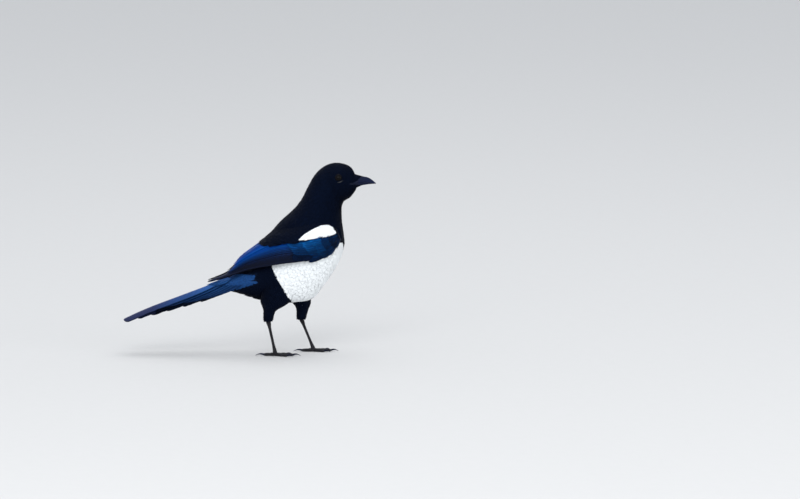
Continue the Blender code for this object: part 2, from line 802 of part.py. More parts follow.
def make_tarsus(name, side_name):
    """A bare lower leg, between the thigh's end and the foot."""
    ankle_height, _, _, _, ankle_out = THIGH_RINGS[side_name][0]
    side = SIDES[side_name]

    def place(along, angle):
        half_length, half_width = read_rows(TARSUS_ROWS, along)
        x = mix(ANKLE[side_name], FOOT_AT[side_name], along)
        height = mix(ankle_height - GAP, TARSUS_FOOT, along)
        y = (ankle_out + half_width * math.sin(angle)) * side
        return x + half_length * math.cos(angle), y, height

    return tube(name, LEG_SKIN, TARSUS_SIDES, TARSUS_STEPS, place)


def foot_centre(side_name):
    """Where a foot's toes meet, on the floor."""
    out = THIGH_RINGS[side_name][0][4]
    return Vector((FOOT_AT[side_name], out * SIDES[side_name], 0))


def toe_direction(side_name, turn):
    """The way a toe points, turned outwards from straight ahead."""
    return Vector((math.cos(turn), math.sin(turn) * SIDES[side_name], 0))


def make_toe(side_name, toe):
    turn, length, radii, pads, _ = toe
    ahead = toe_direction(side_name, turn)
    across = ahead.cross(Vector((0, 0, 1)))

    def place(along, angle):
        swell = 1 + PAD_SWELL * math.sin(pads * math.pi * along) ** 2
        radius = mix(*radii, along) * swell
        level = radius * (1 - TOE_SINK)
        point = foot_centre(side_name) + ahead * length * along
        point += across * radius * math.cos(angle)
        return point + Vector((0, 0, level + radius * math.sin(angle)))

    return tube("Toe", LEG_SKIN, TOE_SIDES, TOE_STEPS, place)


def make_claw(name, side_name, toe):
    """A curved claw, from the end of its toe down to just above the floor."""
    turn, length, radii, _, claw_length = toe
    ahead = toe_direction(side_name, turn)
    across = ahead.cross(Vector((0, 0, 1)))
    tip_radius, tip_height = CLAW_TIP
    root_radius = radii[1] * CLAW_RADIUS
    root_height = radii[1] * (1 - TOE_SINK) + 0.1

    def place(along, angle):
        radius = mix(root_radius, tip_radius, along**1.2)
        height = mix(root_height, tip_height, along) + CLAW_ARCH * math.sin(math.pi * along)
        point = foot_centre(side_name) + ahead * (length + GAP + claw_length * along)
        point += across * radius * 0.8 * math.cos(angle)
        return point + Vector((0, 0, height + radius * math.sin(angle)))

    return tube(name, HORN, CLAW_SIDES, CLAW_STEPS, place)


def make_floor_block():
    """What lies under the floor, cut from the toes to leave their soles flat."""

    def place(along, across, layer):
        return mix(-60.0, 180.0, along), across * 90.0, mix(-20.0, 0.0, layer)

    return slab("Floor", LEG_SKIN, (0, 0, 0), place)


def make_foot(name, side_name):
    """The toes, fused with the short upright that the lower leg stands on."""

    def place(along, angle):
        radius = SOLE_RADIUS * (1 - 0.18 * along)
        x = radius * math.cos(angle)
        y = radius * 0.88 * math.sin(angle)
        return foot_centre(side_name) + Vector((x, y, mix(0.6, TARSUS_FOOT - GAP, along)))

    foot = tube(name, LEG_SKIN, TARSUS_SIDES, 3, place)
    combine(foot, [make_toe(side_name, toe) for toe in TOES.values()], "UNION")
    return combine(foot, [make_floor_block()], "DIFFERENCE")


def clear_scene():
    for old in list(bpy.data.objects):
        bpy.data.objects.remove(old, do_unlink=True)


def main():
    clear_scene()
    pieces = [
        make_head(),
        body_part("neck", BLACK_FEATHERS, HEAD_CUT, NECK_CUT),
        body_part("torso", WHITE_FEATHERS, NECK_CUT, TAIL_CUT),
        make_tail("tail"),
        make_upper_bill("bill_upper"),
        make_bill("bill_lower", lower_bill_point, LOWER_BILL_END),
    ]
    for side_name, side in SIDES.items():
        pieces.append(make_eye(f"eye_{side_name}", side))
        pieces.append(make_scapulars(f"scapulars_{side_name}", side))
        pieces.append(make_wing(f"wing_{side_name}", side))
        pieces.append(make_thigh(f"thigh_{side_name}", side_name))
        pieces.append(make_tarsus(f"tarsus_{side_name}", side_name))
        pieces.append(make_foot(f"foot_{side_name}", side_name))
        for toe_name, toe in TOES.items():
            pieces.append(make_claw(f"claw_{side_name}_{toe_name}", side_name, toe))
    for piece in pieces:
        finish(piece)


main()
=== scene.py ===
"""A life-size Eurasian magpie: skin, coat of feathers, wings, tail, bill, eyes and feet.

Every piece is laid out on the named sizes of the solid model that it dresses. Sizes
are in millimetres, and become metres as the meshes are made.
"""

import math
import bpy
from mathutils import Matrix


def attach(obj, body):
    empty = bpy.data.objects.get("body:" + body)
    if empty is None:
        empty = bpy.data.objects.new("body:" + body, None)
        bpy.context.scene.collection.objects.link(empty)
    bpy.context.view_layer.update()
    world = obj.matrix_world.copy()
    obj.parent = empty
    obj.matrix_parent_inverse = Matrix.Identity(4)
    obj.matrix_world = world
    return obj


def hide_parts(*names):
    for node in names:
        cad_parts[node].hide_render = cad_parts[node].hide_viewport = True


bl_info = {
    "name": "Eurasian Magpie",
    "version": (1, 0, 0),
    "blender": (4, 5, 0),
    "location": "View3D > Sidebar > Magpie",
    "description": "Dresses the solid model of a magpie in skin, feathers, horn and scutes",
    "category": "Object",
}

from dataclasses import dataclass

import bmesh
import bpy
import numpy as np
from bpy.props import FloatProperty, FloatVectorProperty, IntProperty, PointerProperty
from mathutils import Matrix, Vector

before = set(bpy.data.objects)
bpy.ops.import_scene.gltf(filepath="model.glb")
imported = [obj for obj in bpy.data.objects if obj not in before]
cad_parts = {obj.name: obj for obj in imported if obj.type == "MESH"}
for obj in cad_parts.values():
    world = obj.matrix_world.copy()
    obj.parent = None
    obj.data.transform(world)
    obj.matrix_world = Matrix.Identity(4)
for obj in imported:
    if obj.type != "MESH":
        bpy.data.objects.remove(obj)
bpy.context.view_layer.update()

MM = 0.001
SIDES = {"right": -1, "left": 1}
FULL_TURN = 2 * math.pi
PATCH = 0.003

# Body rings: number, back (x, z), breast (x, z), half the width, and how far below
# the middle the widest place lies, as a share of half the depth.
BODY_RINGS = (
    (0, 149.6, 255.4, 152.2, 236.0, 7.2, 0.00),
    (1, 143.6, 264.1, 147.8, 230.0, 12.0, 0.04),
    (2, 135.1, 269.1, 142.0, 224.0, 16.5, 0.08),
    (3, 125.3, 271.3, 134.0, 219.0, 19.0, 0.08),
    (4, 114.0, 269.9, 130.5, 212.0, 20.0, 0.08),
    (5, 102.7, 264.1, 130.0, 204.0, 20.5, 0.05),
    (6, 92.0, 253.0, 130.2, 195.8, 21.5, 0.02),
    (7, 83.2, 237.4, 131.0, 187.0, 24.0, 0.00),
    (8, 75.2, 221.6, 132.5, 176.0, 27.5, 0.00),
    (9, 67.0, 209.6, 134.0, 165.0, 31.0, 0.00),
    (10, 56.8, 199.6, 134.0, 154.0, 34.0, 0.04),
    (11, 43.6, 187.4, 129.0, 137.0, 35.5, 0.10),
    (12, 30.6, 172.4, 118.0, 116.0, 36.0, 0.14),
    (13, 20.0, 159.6, 104.0, 96.0, 35.0, 0.14),
    (14, 11.0, 149.6, 88.0, 78.0, 33.0, 0.12),
    (15, 1.0, 139.6, 60.0, 73.6, 28.5, 0.08),
    (16, -9.0, 128.4, 29.0, 75.8, 23.5, 0.04),
    (17, -19.0, 117.4, 1.0, 82.6, 17.5, 0.00),
    (18, -32.0, 107.0, -24.0, 88.5, 11.5, 0.00),
)
LAST_RING = BODY_RINGS[-1][0]

EYE_CENTRE = (126.0, 14.8, 252.0)
EYE_RADIUS = 5.2
EYE_AXIS = (0.14, 1.0, 0.08)

# Bill rings: x, ridge, mouth line, lower edge, half the width above and below
BILL_RINGS = (
    (149.8, 252.6, 243.2, 236.6, 6.2, 5.5),
    (156.3, 252.2, 243.5, 238.6, 5.2, 4.5),
    (163.4, 251.6, 243.7, 240.0, 4.0, 3.3),
    (168.5, 250.2, 243.3, 240.8, 3.0, 2.3),
    (173.0, 247.4, 242.6, 241.2, 2.0, 1.2),
    (176.4, 244.6, 242.0, 241.4, 1.2, 0.6),
    (178.6, 242.8, 241.7, 241.4, 0.5, 0.3),
)
BILL_START = 145.0
LOWER_BILL_END = 176.2
GAPE = (139.0, 241.5)

# Folded wing. Its chart runs u back from the bend and v round the wing from its
# lower edge. Stations: u, then height over the axis and distance from the middle
# plane of the lower and of the upper edge, and how far the wing bulges between them.
WING_BEND = (129.0, 165.0)
WING_SLOPE = math.radians(18.36)
WING_STATIONS = (
    (0, 1.0, 22.0, 17.0, 24.0, 3.0),
    (20, -10.5, 34.0, 30.0, 27.0, 6.0),
    (45, -13.3, 41.0, 33.0, 26.0, 8.0),
    (83, -6.4, 43.0, 36.0, 12.0, 9.5),
    (106, -3.7, 38.0, 30.0, 7.0, 9.0),
    (128, -1.2, 31.0, 22.5, 5.0, 7.5),
    (144, -0.8, 25.0, 16.5, 4.5, 5.5),
    (158, -1.5, 20.5, 8.0, 5.0, 3.0),
    (172, -2.2, 17.0, 3.6, 6.0, 1.6),
    (197, -3.0, 12.0, 1.6, 6.0, 0.9),
)
WING_LENGTH = 200.0
WING_INNER_LIMIT = 0.5
# Arm and hand under the feathers: u, depth, and the shares of the arc it spans
WING_CORE = (
    (1.5, 1.5, 0.30, 0.70),
    (7.0, 5.0, 0.08, 0.92),
    (40.0, 7.0, 0.03, 1.00),
    (90.0, 7.0, 0.03, 1.00),
    (130.0, 4.6, 0.04, 1.00),
    (150.0, 3.4, 0.06, 0.95),
    (168.0, 2.2, 0.12, 0.80),
    (184.0, 1.2, 0.25, 0.65),
)

# Tail: its ridge's start, slope and length, the fall of its folded roof, and its
# pairs of feathers from the middle pair outwards.
TAIL_START = (-22.0, 110.5)
TAIL_SLOPE = math.radians(20.5)
TAIL_LENGTH = 167.0
TAIL_ROOF = math.radians(22)
TAIL_ROUNDING = 5.0
TAIL_DROOP_FROM = 110.0
TAIL_DROOP = 3.0
TAIL_SHORTER = (0.0, 18.0, 38.0, 60.0, 84.0, 110.0)
TAIL_ROOTS = (0.0, -24.0)
TAIL_CENTRES = (4.6, 16.0)
TAIL_ROOT_CENTRES = (1.5, 8.0)
TAIL_WIDTHS = (20.0, 17.0)
TAIL_LAYER = 0.88

# Feathered thighs: height, x, half the length, half the width, distance from the middle
THIGH_RINGS = {
    "right": (
        (49.9, 27.0, 4.4, 4.0, 22.0),
        (54.0, 27.4, 5.4, 4.8, 22.0),
        (60.0, 28.0, 7.0, 6.0, 22.0),
        (65.0, 29.6, 9.2, 7.4, 22.0),
        (70.0, 33.5, 14.5, 9.0, 22.0),
        (77.0, 37.0, 20.5, 10.6, 22.0),
        (87.0, 40.0, 22.0, 11.4, 21.5),
        (100.0, 42.0, 20.0, 9.5, 19.0),
        (110.0, 44.0, 14.0, 7.0, 15.0),
    ),
    "left": (
        (46.5, 73.2, 4.4, 4.0, 20.0),
        (51.0, 73.6, 5.4, 4.8, 20.0),
        (57.0, 74.4, 7.2, 6.0, 20.0),
        (63.0, 75.0, 9.4, 7.4, 20.0),
        (70.0, 73.6, 13.0, 9.0, 20.0),
        (80.0, 69.5, 17.0, 10.8, 20.0),
        (92.0, 63.0, 19.0, 11.0, 19.0),
        (106.0, 58.0, 15.0, 8.5, 15.0),
    ),
}

# Lower legs: x of the ankle and of the foot. Rows: share of the way down, half the
# length and half the width.
ANKLE = {"right": 26.8, "left": 73.0}
FOOT_AT = {"right": 36.4, "left": 89.5}
TARSUS_ROWS = (
    (-0.12, 2.6, 2.4),
    (0.0, 3.1, 2.8),
    (0.08, 3.3, 2.9),
    (0.2, 2.3, 2.0),
    (0.5, 1.95, 1.7),
    (0.8, 2.1, 1.9),
    (1.0, 3.0, 2.6),
)
TARSUS_FOOT = 5.6

# Toes: turn outwards, length, radius at the root and at the end, number of pads,
# and the claw's length
TOES = {
    "inner": (math.radians(-24), 18.0, (2.3, 1.75), 2, 9.0),
    "middle": (math.radians(2), 26.0, (2.4, 1.8), 3, 10.0),
    "outer": (math.radians(26), 19.5, (2.2, 1.7), 3, 8.5),
    "hind": (math.radians(183), 15.5, (2.5, 1.95), 2, 12.0),
}
TOE_SINK = 0.24
PAD_SWELL = 0.14
SOLE_RADIUS = 3.5
CLAW_RADIUS = 0.8
CLAW_ARCH = 1.5
CLAW_TIP = (0.18, 0.42)
GAP = 0.3


# ---- curves and charts


def mix(first, last, share):
    """The value that lies this share of the way from first to last."""
    return first + (last - first) * share


def step(low, high, value):
    """A smooth step from 0 at low to 1 at high."""
    t = np.clip((np.asarray(value, float) - low) / (high - low), 0, 1)
    return t * t * (3 - 2 * t)


def stacked(*columns):
    return np.stack(np.broadcast_arrays(*columns), -1)


def rows_at(rows, keys):
    """Smooth curves through rows that each start with their key, read at many keys."""
    table = np.array(rows, float)
    places, values = table[:, 0], table[:, 1:]
    keys = np.asarray(keys, float)
    last = len(places) - 1
    at = np.clip(np.searchsorted(places, keys, side="right") - 1, 0, last - 1)
    before, after = np.maximum(at - 1, 0), np.minimum(at + 2, last)
    span = (places[at + 1] - places[at])[..., None]
    t = (keys - places[at])[..., None] / span
    start, end = values[at], values[at + 1]
    leaving = (end - values[before]) / (places[at + 1] - places[before])[..., None] * span
    coming = (values[after] - start) / (places[after] - places[at])[..., None] * span
    found = start * (1 - 3 * t**2 + 2 * t**3) + leaving * (t - 2 * t**2 + t**3)
    found = found + end * (3 * t**2 - 2 * t**3) + coming * (t**3 - t**2)
    found = np.where(t < 0, start + leaving * t, found)
    found = np.where(t > 1, end + coming * (t - 1), found)
    return np.moveaxis(found, -1, 0)


def body_chart(ring, turn, height=0.0):
    """Points of the body; turn 0 is the back and half a full turn the breast."""
    back_x, back_z, breast_x, breast_z, half_width, low = rows_at(BODY_RINGS, ring)
    up_x, up_z = (back_x - breast_x) / 2, (back_z - breast_z) / 2
    longer = 1 + height / np.hypot(up_x, up_z)
    rise = np.cos(turn) - low * np.sin(turn) ** 2
    return stacked(
        (back_x + breast_x) / 2 + up_x * longer * rise,
        (half_width + height) * np.sin(turn),
        (back_z + breast_z) / 2 + up_z * longer * rise,
    )


def wing_section(u):
    low, low_out, high, high_out, bulge = rows_at(WING_STATIONS, u)
    chord = np.hypot(high - low, high_out - low_out)
    radius = (chord**2 / 4 + bulge**2) / (2 * bulge)
    heading = np.arctan2(high_out - low_out, high - low) + np.arcsin(chord / 2 / radius)
    return low, low_out, high, high_out, radius, heading, chord


def wing_arc(u):
    """The length round the wing from its lower to its upper edge."""
    *_, radius, _, chord = wing_section(u)
    return 2 * radius * np.arcsin(chord / 2 / radius)


def wing_chart(side):
    """The chart of one folded wing: u back from the bend, v round it from below."""

    def place(u, v, height=0.0):
        low, low_out, _, _, radius, heading, _ = wing_section(u)
        now = heading - v / radius
        q = low + radius * (np.sin(heading) - np.sin(now)) - height * np.sin(now)
        out = low_out + radius * (np.cos(now) - np.cos(heading)) + height * np.cos(now)
        out = np.maximum(out, WING_INNER_LIMIT)
        x = WING_BEND[0] - math.cos(WING_SLOPE) * u - math.sin(WING_SLOPE) * q
        z = WING_BEND[1] - math.sin(WING_SLOPE) * u + math.cos(WING_SLOPE) * q
        return stacked(x, out * side, z)

    return place


def wing_cover(points):
    """How far points lie inside the wing's outline, from its lower and upper edge."""
    x, z = points[..., 0] - WING_BEND[0], points[..., 2] - WING_BEND[1]
    u = -math.cos(WING_SLOPE) * x - math.sin(WING_SLOPE) * z
    q = -math.sin(WING_SLOPE) * x + math.cos(WING_SLOPE) * z
    low, _, high, _, _ = rows_at(WING_STATIONS, u)
    return u, q - low, high - q


def tail_chart(along, out, height=0.0):
    """Points of the folded tail's roof."""
    reach = np.sqrt(out**2 + TAIL_ROUNDING**2)
    drop = math.tan(TAIL_ROOF) * (reach - TAIL_ROUNDING)
    past = np.maximum(along - TAIL_DROOP_FROM, 0) / (TAIL_LENGTH - TAIL_DROOP_FROM)
    drop = drop + TAIL_DROOP * past**2
    slope = np.arctan(math.tan(TAIL_ROOF) * out / reach)
    lifted = height * np.cos(slope) - drop
    return stacked(
        TAIL_START[0] - math.cos(TAIL_SLOPE) * along - math.sin(TAIL_SLOPE) * lifted,
        out + height * np.sin(slope),
        TAIL_START[1] - math.sin(TAIL_SLOPE) * along + math.cos(TAIL_SLOPE) * lifted,
    )


def thigh_chart(side_name):
    """The chart of a feathered thigh: height over the floor and turn round it."""
    rows, side = THIGH_RINGS[side_name], SIDES[side_name]

    def place(level, turn, height=0.0):
        x, half_length, half_width, out = rows_at(rows, level)
        y = out + (half_width + height) * np.sin(turn)
        return stacked(x + (half_length + height) * np.cos(turn), y * side, level)

    return place


def bill_chart(x, turn, height=0.0):
    """The upper bill; turn 0 is the ridge and a quarter turn the cutting edge."""
    ridge, mouth, _, half_width, _ = rows_at(BILL_RINGS, x)
    rise = (ridge - mouth + height) * np.maximum(np.cos(turn), 0.0)
    return stacked(x, (half_width + height) * np.sin(turn), mouth + GAP / 2 + rise)


def lower_bill_chart(x, turn, height=0.0):
    """The lower bill; turn 0 is the keel and a quarter turn the cutting edge."""
    _, mouth, keel, _, half_width = rows_at(BILL_RINGS, x)
    fall = (mouth - GAP - keel + height) * np.maximum(np.cos(turn), 0.0)
    return stacked(x, (half_width + height) * np.sin(turn), mouth - GAP / 2 - fall)


def stretch(chart, p, q, axis):
    """Millimetres to one unit of a chart, along its first or its second axis."""
    small = 1e-3
    there = chart(p + small, q) if axis == 0 else chart(p, q + small)
    return np.maximum(np.linalg.norm(there - chart(p, q), axis=-1) / small, 1e-3)


def handedness(chart, p, q):
    """1 where a chart's two ways and its height are right-handed, else -1."""
    small = 1e-3
    here = chart(p, q)
    ahead, aside = chart(p + small, q) - here, chart(p, q + small) - here
    out = chart(p, q, 0.5) - here
    return np.sign(np.median(np.sum(np.cross(ahead, aside) * out, axis=-1)))


# ---- meshes


def face_outwards(bm):
    bmesh.ops.recalc_face_normals(bm, faces=bm.faces)
    if bm.calc_volume(signed=True) < 0:
        bmesh.ops.reverse_faces(bm, faces=bm.faces)


def to_piece(name, bm):
    """A smooth object in the scene from a finished bmesh in millimetres."""
    bmesh.ops.scale(bm, vec=(MM, MM, MM), verts=bm.verts)
    face_outwards(bm)
    mesh = bpy.data.meshes.new(name)
    bm.to_mesh(mesh)
    bm.free()
    mesh.shade_smooth()
    piece = bpy.data.objects.new(name, mesh)
    bpy.context.scene.collection.objects.link(piece)
    return piece


def add_tube(bm, sides, steps, place):
    """Add a closed tube whose points are place(shares along, turns round)."""
    before = len(bm.verts)
    bmesh.ops.create_cone(
        bm, cap_ends=True, segments=sides, radius1=1, radius2=1, depth=1
    )
    bm.verts.ensure_lookup_table()
    new = set(bm.verts[before:])
    upright = {
        e for v in new for e in v.link_edges if abs(e.verts[0].co.z - e.verts[1].co.z) > 0.5
    }
    bmesh.ops.subdivide_edges(bm, edges=list(upright), cuts=steps - 1)
    bm.verts.ensure_lookup_table()
    verts = bm.verts[before:]
    co = np.array([v.co for v in verts])
    points = place(co[:, 2] + 0.5, np.arctan2(co[:, 1], co[:, 0]))
    for vert, point in zip(verts, points):
        vert.co = point


def add_ball(bm, centre, axis, radii, segments):
    """Add an ellipsoid whose pole lies along an axis."""
    turn = Vector(axis).to_track_quat("Z", "X").to_matrix().to_4x4()
    shape = Matrix.Translation(centre) @ turn @ Matrix.Diagonal((*radii, 1))
    bmesh.ops.create_uvsphere(
        bm, u_segments=segments, v_segments=segments // 2, radius=1, matrix=shape
    )


def apply_modifiers(piece):
    """Replace a piece's mesh by what its modifiers make of it."""
    view = bpy.context.evaluated_depsgraph_get()
    mesh = bpy.data.meshes.new_from_object(piece.evaluated_get(view))
    piece.modifiers.clear()
    before = piece.data
    mesh.name = before.name
    piece.data = mesh
    bpy.data.meshes.remove(before)
    piece.data.shade_smooth()


def remeshed(piece, voxel, smoothing):
    """Melt a piece's overlapping closed shapes into one even surface."""
    change = piece.modifiers.new("Melt", "REMESH")
    change.mode = "VOXEL"
    change.voxel_size = voxel * MM
    change.use_smooth_shade = True
    if smoothing:
        soften = piece.modifiers.new("Soften", "SMOOTH")
        soften.factor = 0.5
        soften.iterations = smoothing
    apply_modifiers(piece)
    return piece


def dressed(piece, material, replaces=()):
    """Give a piece its material, and let it ride on the bird."""
    piece.data.materials.clear()
    piece.data.materials.append(material)
    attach(piece, "root")
    if replaces:
        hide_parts(*replaces)
    return piece


# ---- vanes


class Shape:
    """A closed vane in its own terms: share along, side across and layer of a point."""

    def __init__(self, bm):
        for vert in bm.verts:
            vert.co.z *= 0.1
        face_outwards(bm)
        bm.verts.index_update()
        co = np.array([v.co for v in bm.verts])
        self.along, self.across, self.layer = co[:, 0], co[:, 1], co[:, 2] / 0.1
        corners = [[v.index for v in f.verts] for f in bm.faces]
        self.loops = np.array([i for face in corners for i in face])
        self.flipped = np.array([i for face in corners for i in reversed(face)])
        self.sizes = np.array([len(face) for face in corners])
        bm.free()


def vane_shape(steps, cells):
    """A lens with a fine grid above and below, meeting at its rim."""
    bm = bmesh.new()
    for layer in (1, -1):
        made = bmesh.ops.create_grid(bm, x_segments=steps, y_segments=cells, size=0.5)
        for vert in made["verts"]:
            rim = max(abs(vert.co.x), abs(vert.co.y)) > 0.499
            vert.co = (vert.co.x + 0.5, vert.co.y * 2, 0 if rim else layer)
    bmesh.ops.remove_doubles(bm, verts=bm.verts, dist=1e-4)
    return Shape(bm)


def lock_shape(steps):
    """A three-sided lock: two edges and a ridge."""
    bm = bmesh.new()
    bmesh.ops.create_cone(bm, cap_ends=True, segments=3, radius1=1, radius2=1, depth=1)
    upright = [e for e in bm.edges if abs(e.verts[0].co.z - e.verts[1].co.z) > 0.5]
    bmesh.ops.subdivide_edges(bm, edges=upright, cuts=steps - 1)
    turns = sorted({round(math.atan2(v.co.y, v.co.x), 3) for v in bm.verts})
    for vert in bm.verts:
        corner = turns.index(round(math.atan2(vert.co.y, vert.co.x), 3))
        vert.co = (vert.co.z + 0.5, corner - 1.0, 1.0 if corner == 1 else 0.0)
    return Shape(bm)


def contour_outline(a):
    """A body feather: widest half way, with a round end."""
    rising = mix(0.35, 1.0, np.sin(np.clip(a / 0.5, 0, 1) * math.pi / 2))
    falling = np.sqrt(np.clip(1 - 0.97 * (np.clip(a - 0.5, 0, 1) / 0.5) ** 2.4, 0, 1))
    return np.where(a < 0.5, rising, falling)


def flight_outline(a):
    """A long feather with parallel sides and a rounded end."""
    rising = mix(0.5, 1.0, np.sin(np.clip(a / 0.3, 0, 1) * math.pi / 2))
    falling = np.sqrt(np.clip(1 - 0.985 * (np.clip(a - 0.84, 0, 1) / 0.16) ** 2, 0, 1))
    return np.where(a < 0.3, rising, falling)


def tail_outline(a):
    """A tail feather: as broad almost to its rounded end."""
    rising = mix(0.5, 1.0, np.sin(np.clip(a / 0.3, 0, 1) * math.pi / 2))
    falling = np.sqrt(np.clip(1 - 0.985 * (np.clip(a - 0.93, 0, 1) / 0.07) ** 2.2, 0, 1))
    return np.where(a < 0.3, rising, falling)


def pointed_outline(a):
    """A primary: parallel sides that narrow towards the end."""
    rising = mix(0.5, 1.0, np.sin(np.clip(a / 0.25, 0, 1) * math.pi / 2))
    falling = np.sqrt(np.clip(1 - 0.985 * (np.clip(a - 0.7, 0, 1) / 0.3) ** 3.2, 0, 1))
    return np.where(a < 0.25, rising, falling)


def tuft_outline(a):
    """A slim soft feather of the face: broad to half way, then a blunt point."""
    return np.clip(a / 0.2 + 0.4, 0, 1) * np.sqrt(np.clip(1 - 0.9 * a**3, 0, 1))


def lock_outline(a):
    """A lock of barbs, tapering to a point."""
    return np.clip(a / 0.12 + 0.5, 0, 1) * (1 - 0.93 * a**1.6)


@dataclass
class Kind:
    """How one kind of feather is shaped."""

    shape: Shape
    outline: object
    thickness: float = 0.3
    tilt: float = 0.0
    camber: float = 0.0
    rise: float = 1.0
    fringe: float = 0.0
    crowd: float = 1.0
    opening: float = 0.0
    widest: float = 0.0
    strips: bool = False
    soft: float = 0.0


STAIN_SWAY = 1.2


class Coat:
    """Many closed vanes gathered into one mesh, with what their material reads."""

    def __init__(self):
        self.points, self.loops, self.sizes, self.count = [], [], [], 0
        self.vane, self.web, self.marks, self.uv = [], [], [], []
        self.lie, self.soft = [], []

    def lay(
        self, kind, chart, start, end, half_width, heights, marks, patch, chance, stain=None
    ):
        """Lay vanes on a chart, from their starts to their ends.

        start and end are (p, q) rows, heights the root's and the tip's over the
        surface, and patch the place of each root on the unwrap of the skin. A stain
        gives the third mark of each point, such as how black a white feather is there.
        """
        shape, count, size = kind.shape, len(start), len(kind.shape.along)
        a = 1 - (1 - shape.along[None]) ** kind.crowd
        c, layer = shape.across[None], shape.layer[None]
        opened = a
        half = np.broadcast_to(half_width, count)[:, None] * kind.outline(a)
        if kind.opening:
            opened = np.sin(np.clip(a / kind.opening, 0, 1) * math.pi / 2)
            half = half * mix(0.5, 1.0, opened)
        p = start[:, :1] + (end - start)[:, :1] * a
        q = start[:, 1:] + (end - start)[:, 1:] * opened
        if kind.fringe:
            wave = np.sin(a * 47 + chance[:, None] * 40 + c * 3)
            wave = wave + np.sin(a * 83 + chance[:, None] * 90)
            half = half * (1 + kind.fringe * wave * np.abs(c) * step(0.2, 0.9, a))
        rate = stretch(chart, p, q, 1)
        if kind.widest:
            half = np.minimum(half, rate * kind.widest)
        across = c * half
        thick = kind.thickness * (1 - 0.7 * a**2)
        ridge = 0.35 + 0.65 * (1 - np.abs(c)) ** 2
        height = heights[:, :1] + (heights[:, 1:] - heights[:, :1]) * a**kind.rise
        height = height + layer * thick * np.where(layer > 0, ridge, 0.3)
        height = height - kind.tilt * (across + half) - kind.camber * across**2
        points = chart(p, q + across / rate, height)
        lie = chart(p, q + across / rate, height + 0.5) - points
        self.points.append(points.reshape(-1, 3))
        self.lie.append(lie.reshape(-1, 3))
        self.soft.append(np.full(count * size, kind.soft))
        offset = self.count + np.arange(count)[:, None] * size
        ahead = np.sign(np.median(end[:, 0] - start[:, 0])) or 1.0
        loops = shape.loops if handedness(chart, p, q) * ahead > 0 else shape.flipped
        self.loops.append((loops[None] + offset).ravel())
        self.sizes.append(np.tile(shape.sizes, count))
        self.count += count * size
        ends = chart(end[:, 0], end[:, 1]) - chart(start[:, 0], start[:, 1])
        length = np.linalg.norm(ends, axis=-1)[:, None]
        luck = chance[:, None]
        self.vane.append(stacked(a * length, across, luck).reshape(-1, 3))
        self.web.append(stacked(a + 0 * luck, c, luck).reshape(-1, 3))
        spread = np.repeat(np.asarray(marks, float), size, axis=0)
        if stain is not None:
            sway = (luck - 0.5) * STAIN_SWAY
            spread[:, 2] = stain(points + stacked(sway, 0 * sway, sway)).ravel()
        self.marks.append(spread)
        if kind.strips:
            strip = (np.arange(count)[:, None] + 0.5 + 0.45 * c) / count
            place = stacked(0.02 + 0.96 * a, strip)
            place[..., 1] = patch[0] + (patch[1] - patch[0]) * place[..., 1]
        else:
            place = patch[:, None, :] + stacked(a - 0.5, c * 0.5) * PATCH
        self.uv.append(place.reshape(-1, 2))

    def make(self, name):
        """The finished mesh object, with its attributes and its OFBake map."""
        points = np.concatenate(self.points) * MM
        loops, sizes = np.concatenate(self.loops), np.concatenate(self.sizes)
        mesh = bpy.data.meshes.new(name)
        mesh.vertices.add(len(points))
        mesh.vertices.foreach_set("co", points.astype(np.float32).ravel())
        mesh.loops.add(len(loops))
        mesh.loops.foreach_set("vertex_index", loops.astype(np.int32))
        mesh.polygons.add(len(sizes))
        starts = np.concatenate([[0], np.cumsum(sizes)[:-1]])
        mesh.polygons.foreach_set("loop_start", starts.astype(np.int32))
        mesh.update(calc_edges=True)
        for label, rows in (("vane", self.vane), ("web", self.web), ("marks", self.marks)):
            held = mesh.attributes.new(label, "FLOAT_VECTOR", "POINT")
            values = np.concatenate(rows).astype(np.float32)
            held.data.foreach_set("vector", values.ravel())
        uv = mesh.uv_layers.new(name="OFBake")
        places = np.concatenate(self.uv)[loops].astype(np.float32)
        uv.data.foreach_set("uv", places.ravel())
        mesh.shade_smooth()
        self.soften(mesh)
        piece = bpy.data.objects.new(name, mesh)
        bpy.context.scene.collection.objects.link(piece)
        return piece

    def soften(self, mesh):
        """Turn the shading partly to that of the surface on which the vanes lie."""
        own = np.zeros(len(mesh.vertices) * 3)
        mesh.vertex_normals.foreach_get("vector", own)
        lie = np.concatenate(self.lie)
        lie = lie / np.maximum(np.linalg.norm(lie, axis=1), 1e-9)[:, None]
        turned = mix(own.reshape(-1, 3), lie, np.concatenate(self.soft)[:, None])
        turned = turned / np.maximum(np.linalg.norm(turned, axis=1), 1e-9)[:, None]
        mesh.normals_split_custom_set_from_vertices(turned)


def scattered(chart, p_range, q_range, cells, density):
    """Evenly spread places on a chart, as many to each square millimetre as asked."""
    i, j = np.meshgrid(np.arange(cells[0]), np.arange(cells[1]), indexing="ij")
    p = mix(*p_range, (i + 0.5) / cells[0])
    q = mix(*q_range, (j + 0.5) / cells[1])
    width = (p_range[1] - p_range[0]) / cells[0] * stretch(chart, p, q, 0)
    depth = (q_range[1] - q_range[0]) / cells[1] * stretch(chart, p, q, 1)
    wanted = np.abs(width * depth) * density(p, q)
    chosen = (0.7548776662 * i + 0.5698402910 * j) % 1.0 < wanted
    return p[chosen], q[chosen]


def placed(rows, places, columns):
    """Columns of named rows read at places that may lie past the rows' ends."""
    keys = np.clip(places, rows[0][0], rows[-1][0])
    return [rows_at(rows, keys)[i] for i in columns]


# ---- materials


def add_node(tree, kind, wires=None, **settings):
    """A node with its settings, its values and its wires."""
    node = tree.nodes.new(kind)
    for key, value in settings.items():
        setattr(node, key, value)
    for socket, source in (wires or {}).items():
        if isinstance(source, bpy.types.NodeSocket):
            tree.links.new(source, node.inputs[socket])
        else:
            node.inputs[socket].default_value = source
    return node


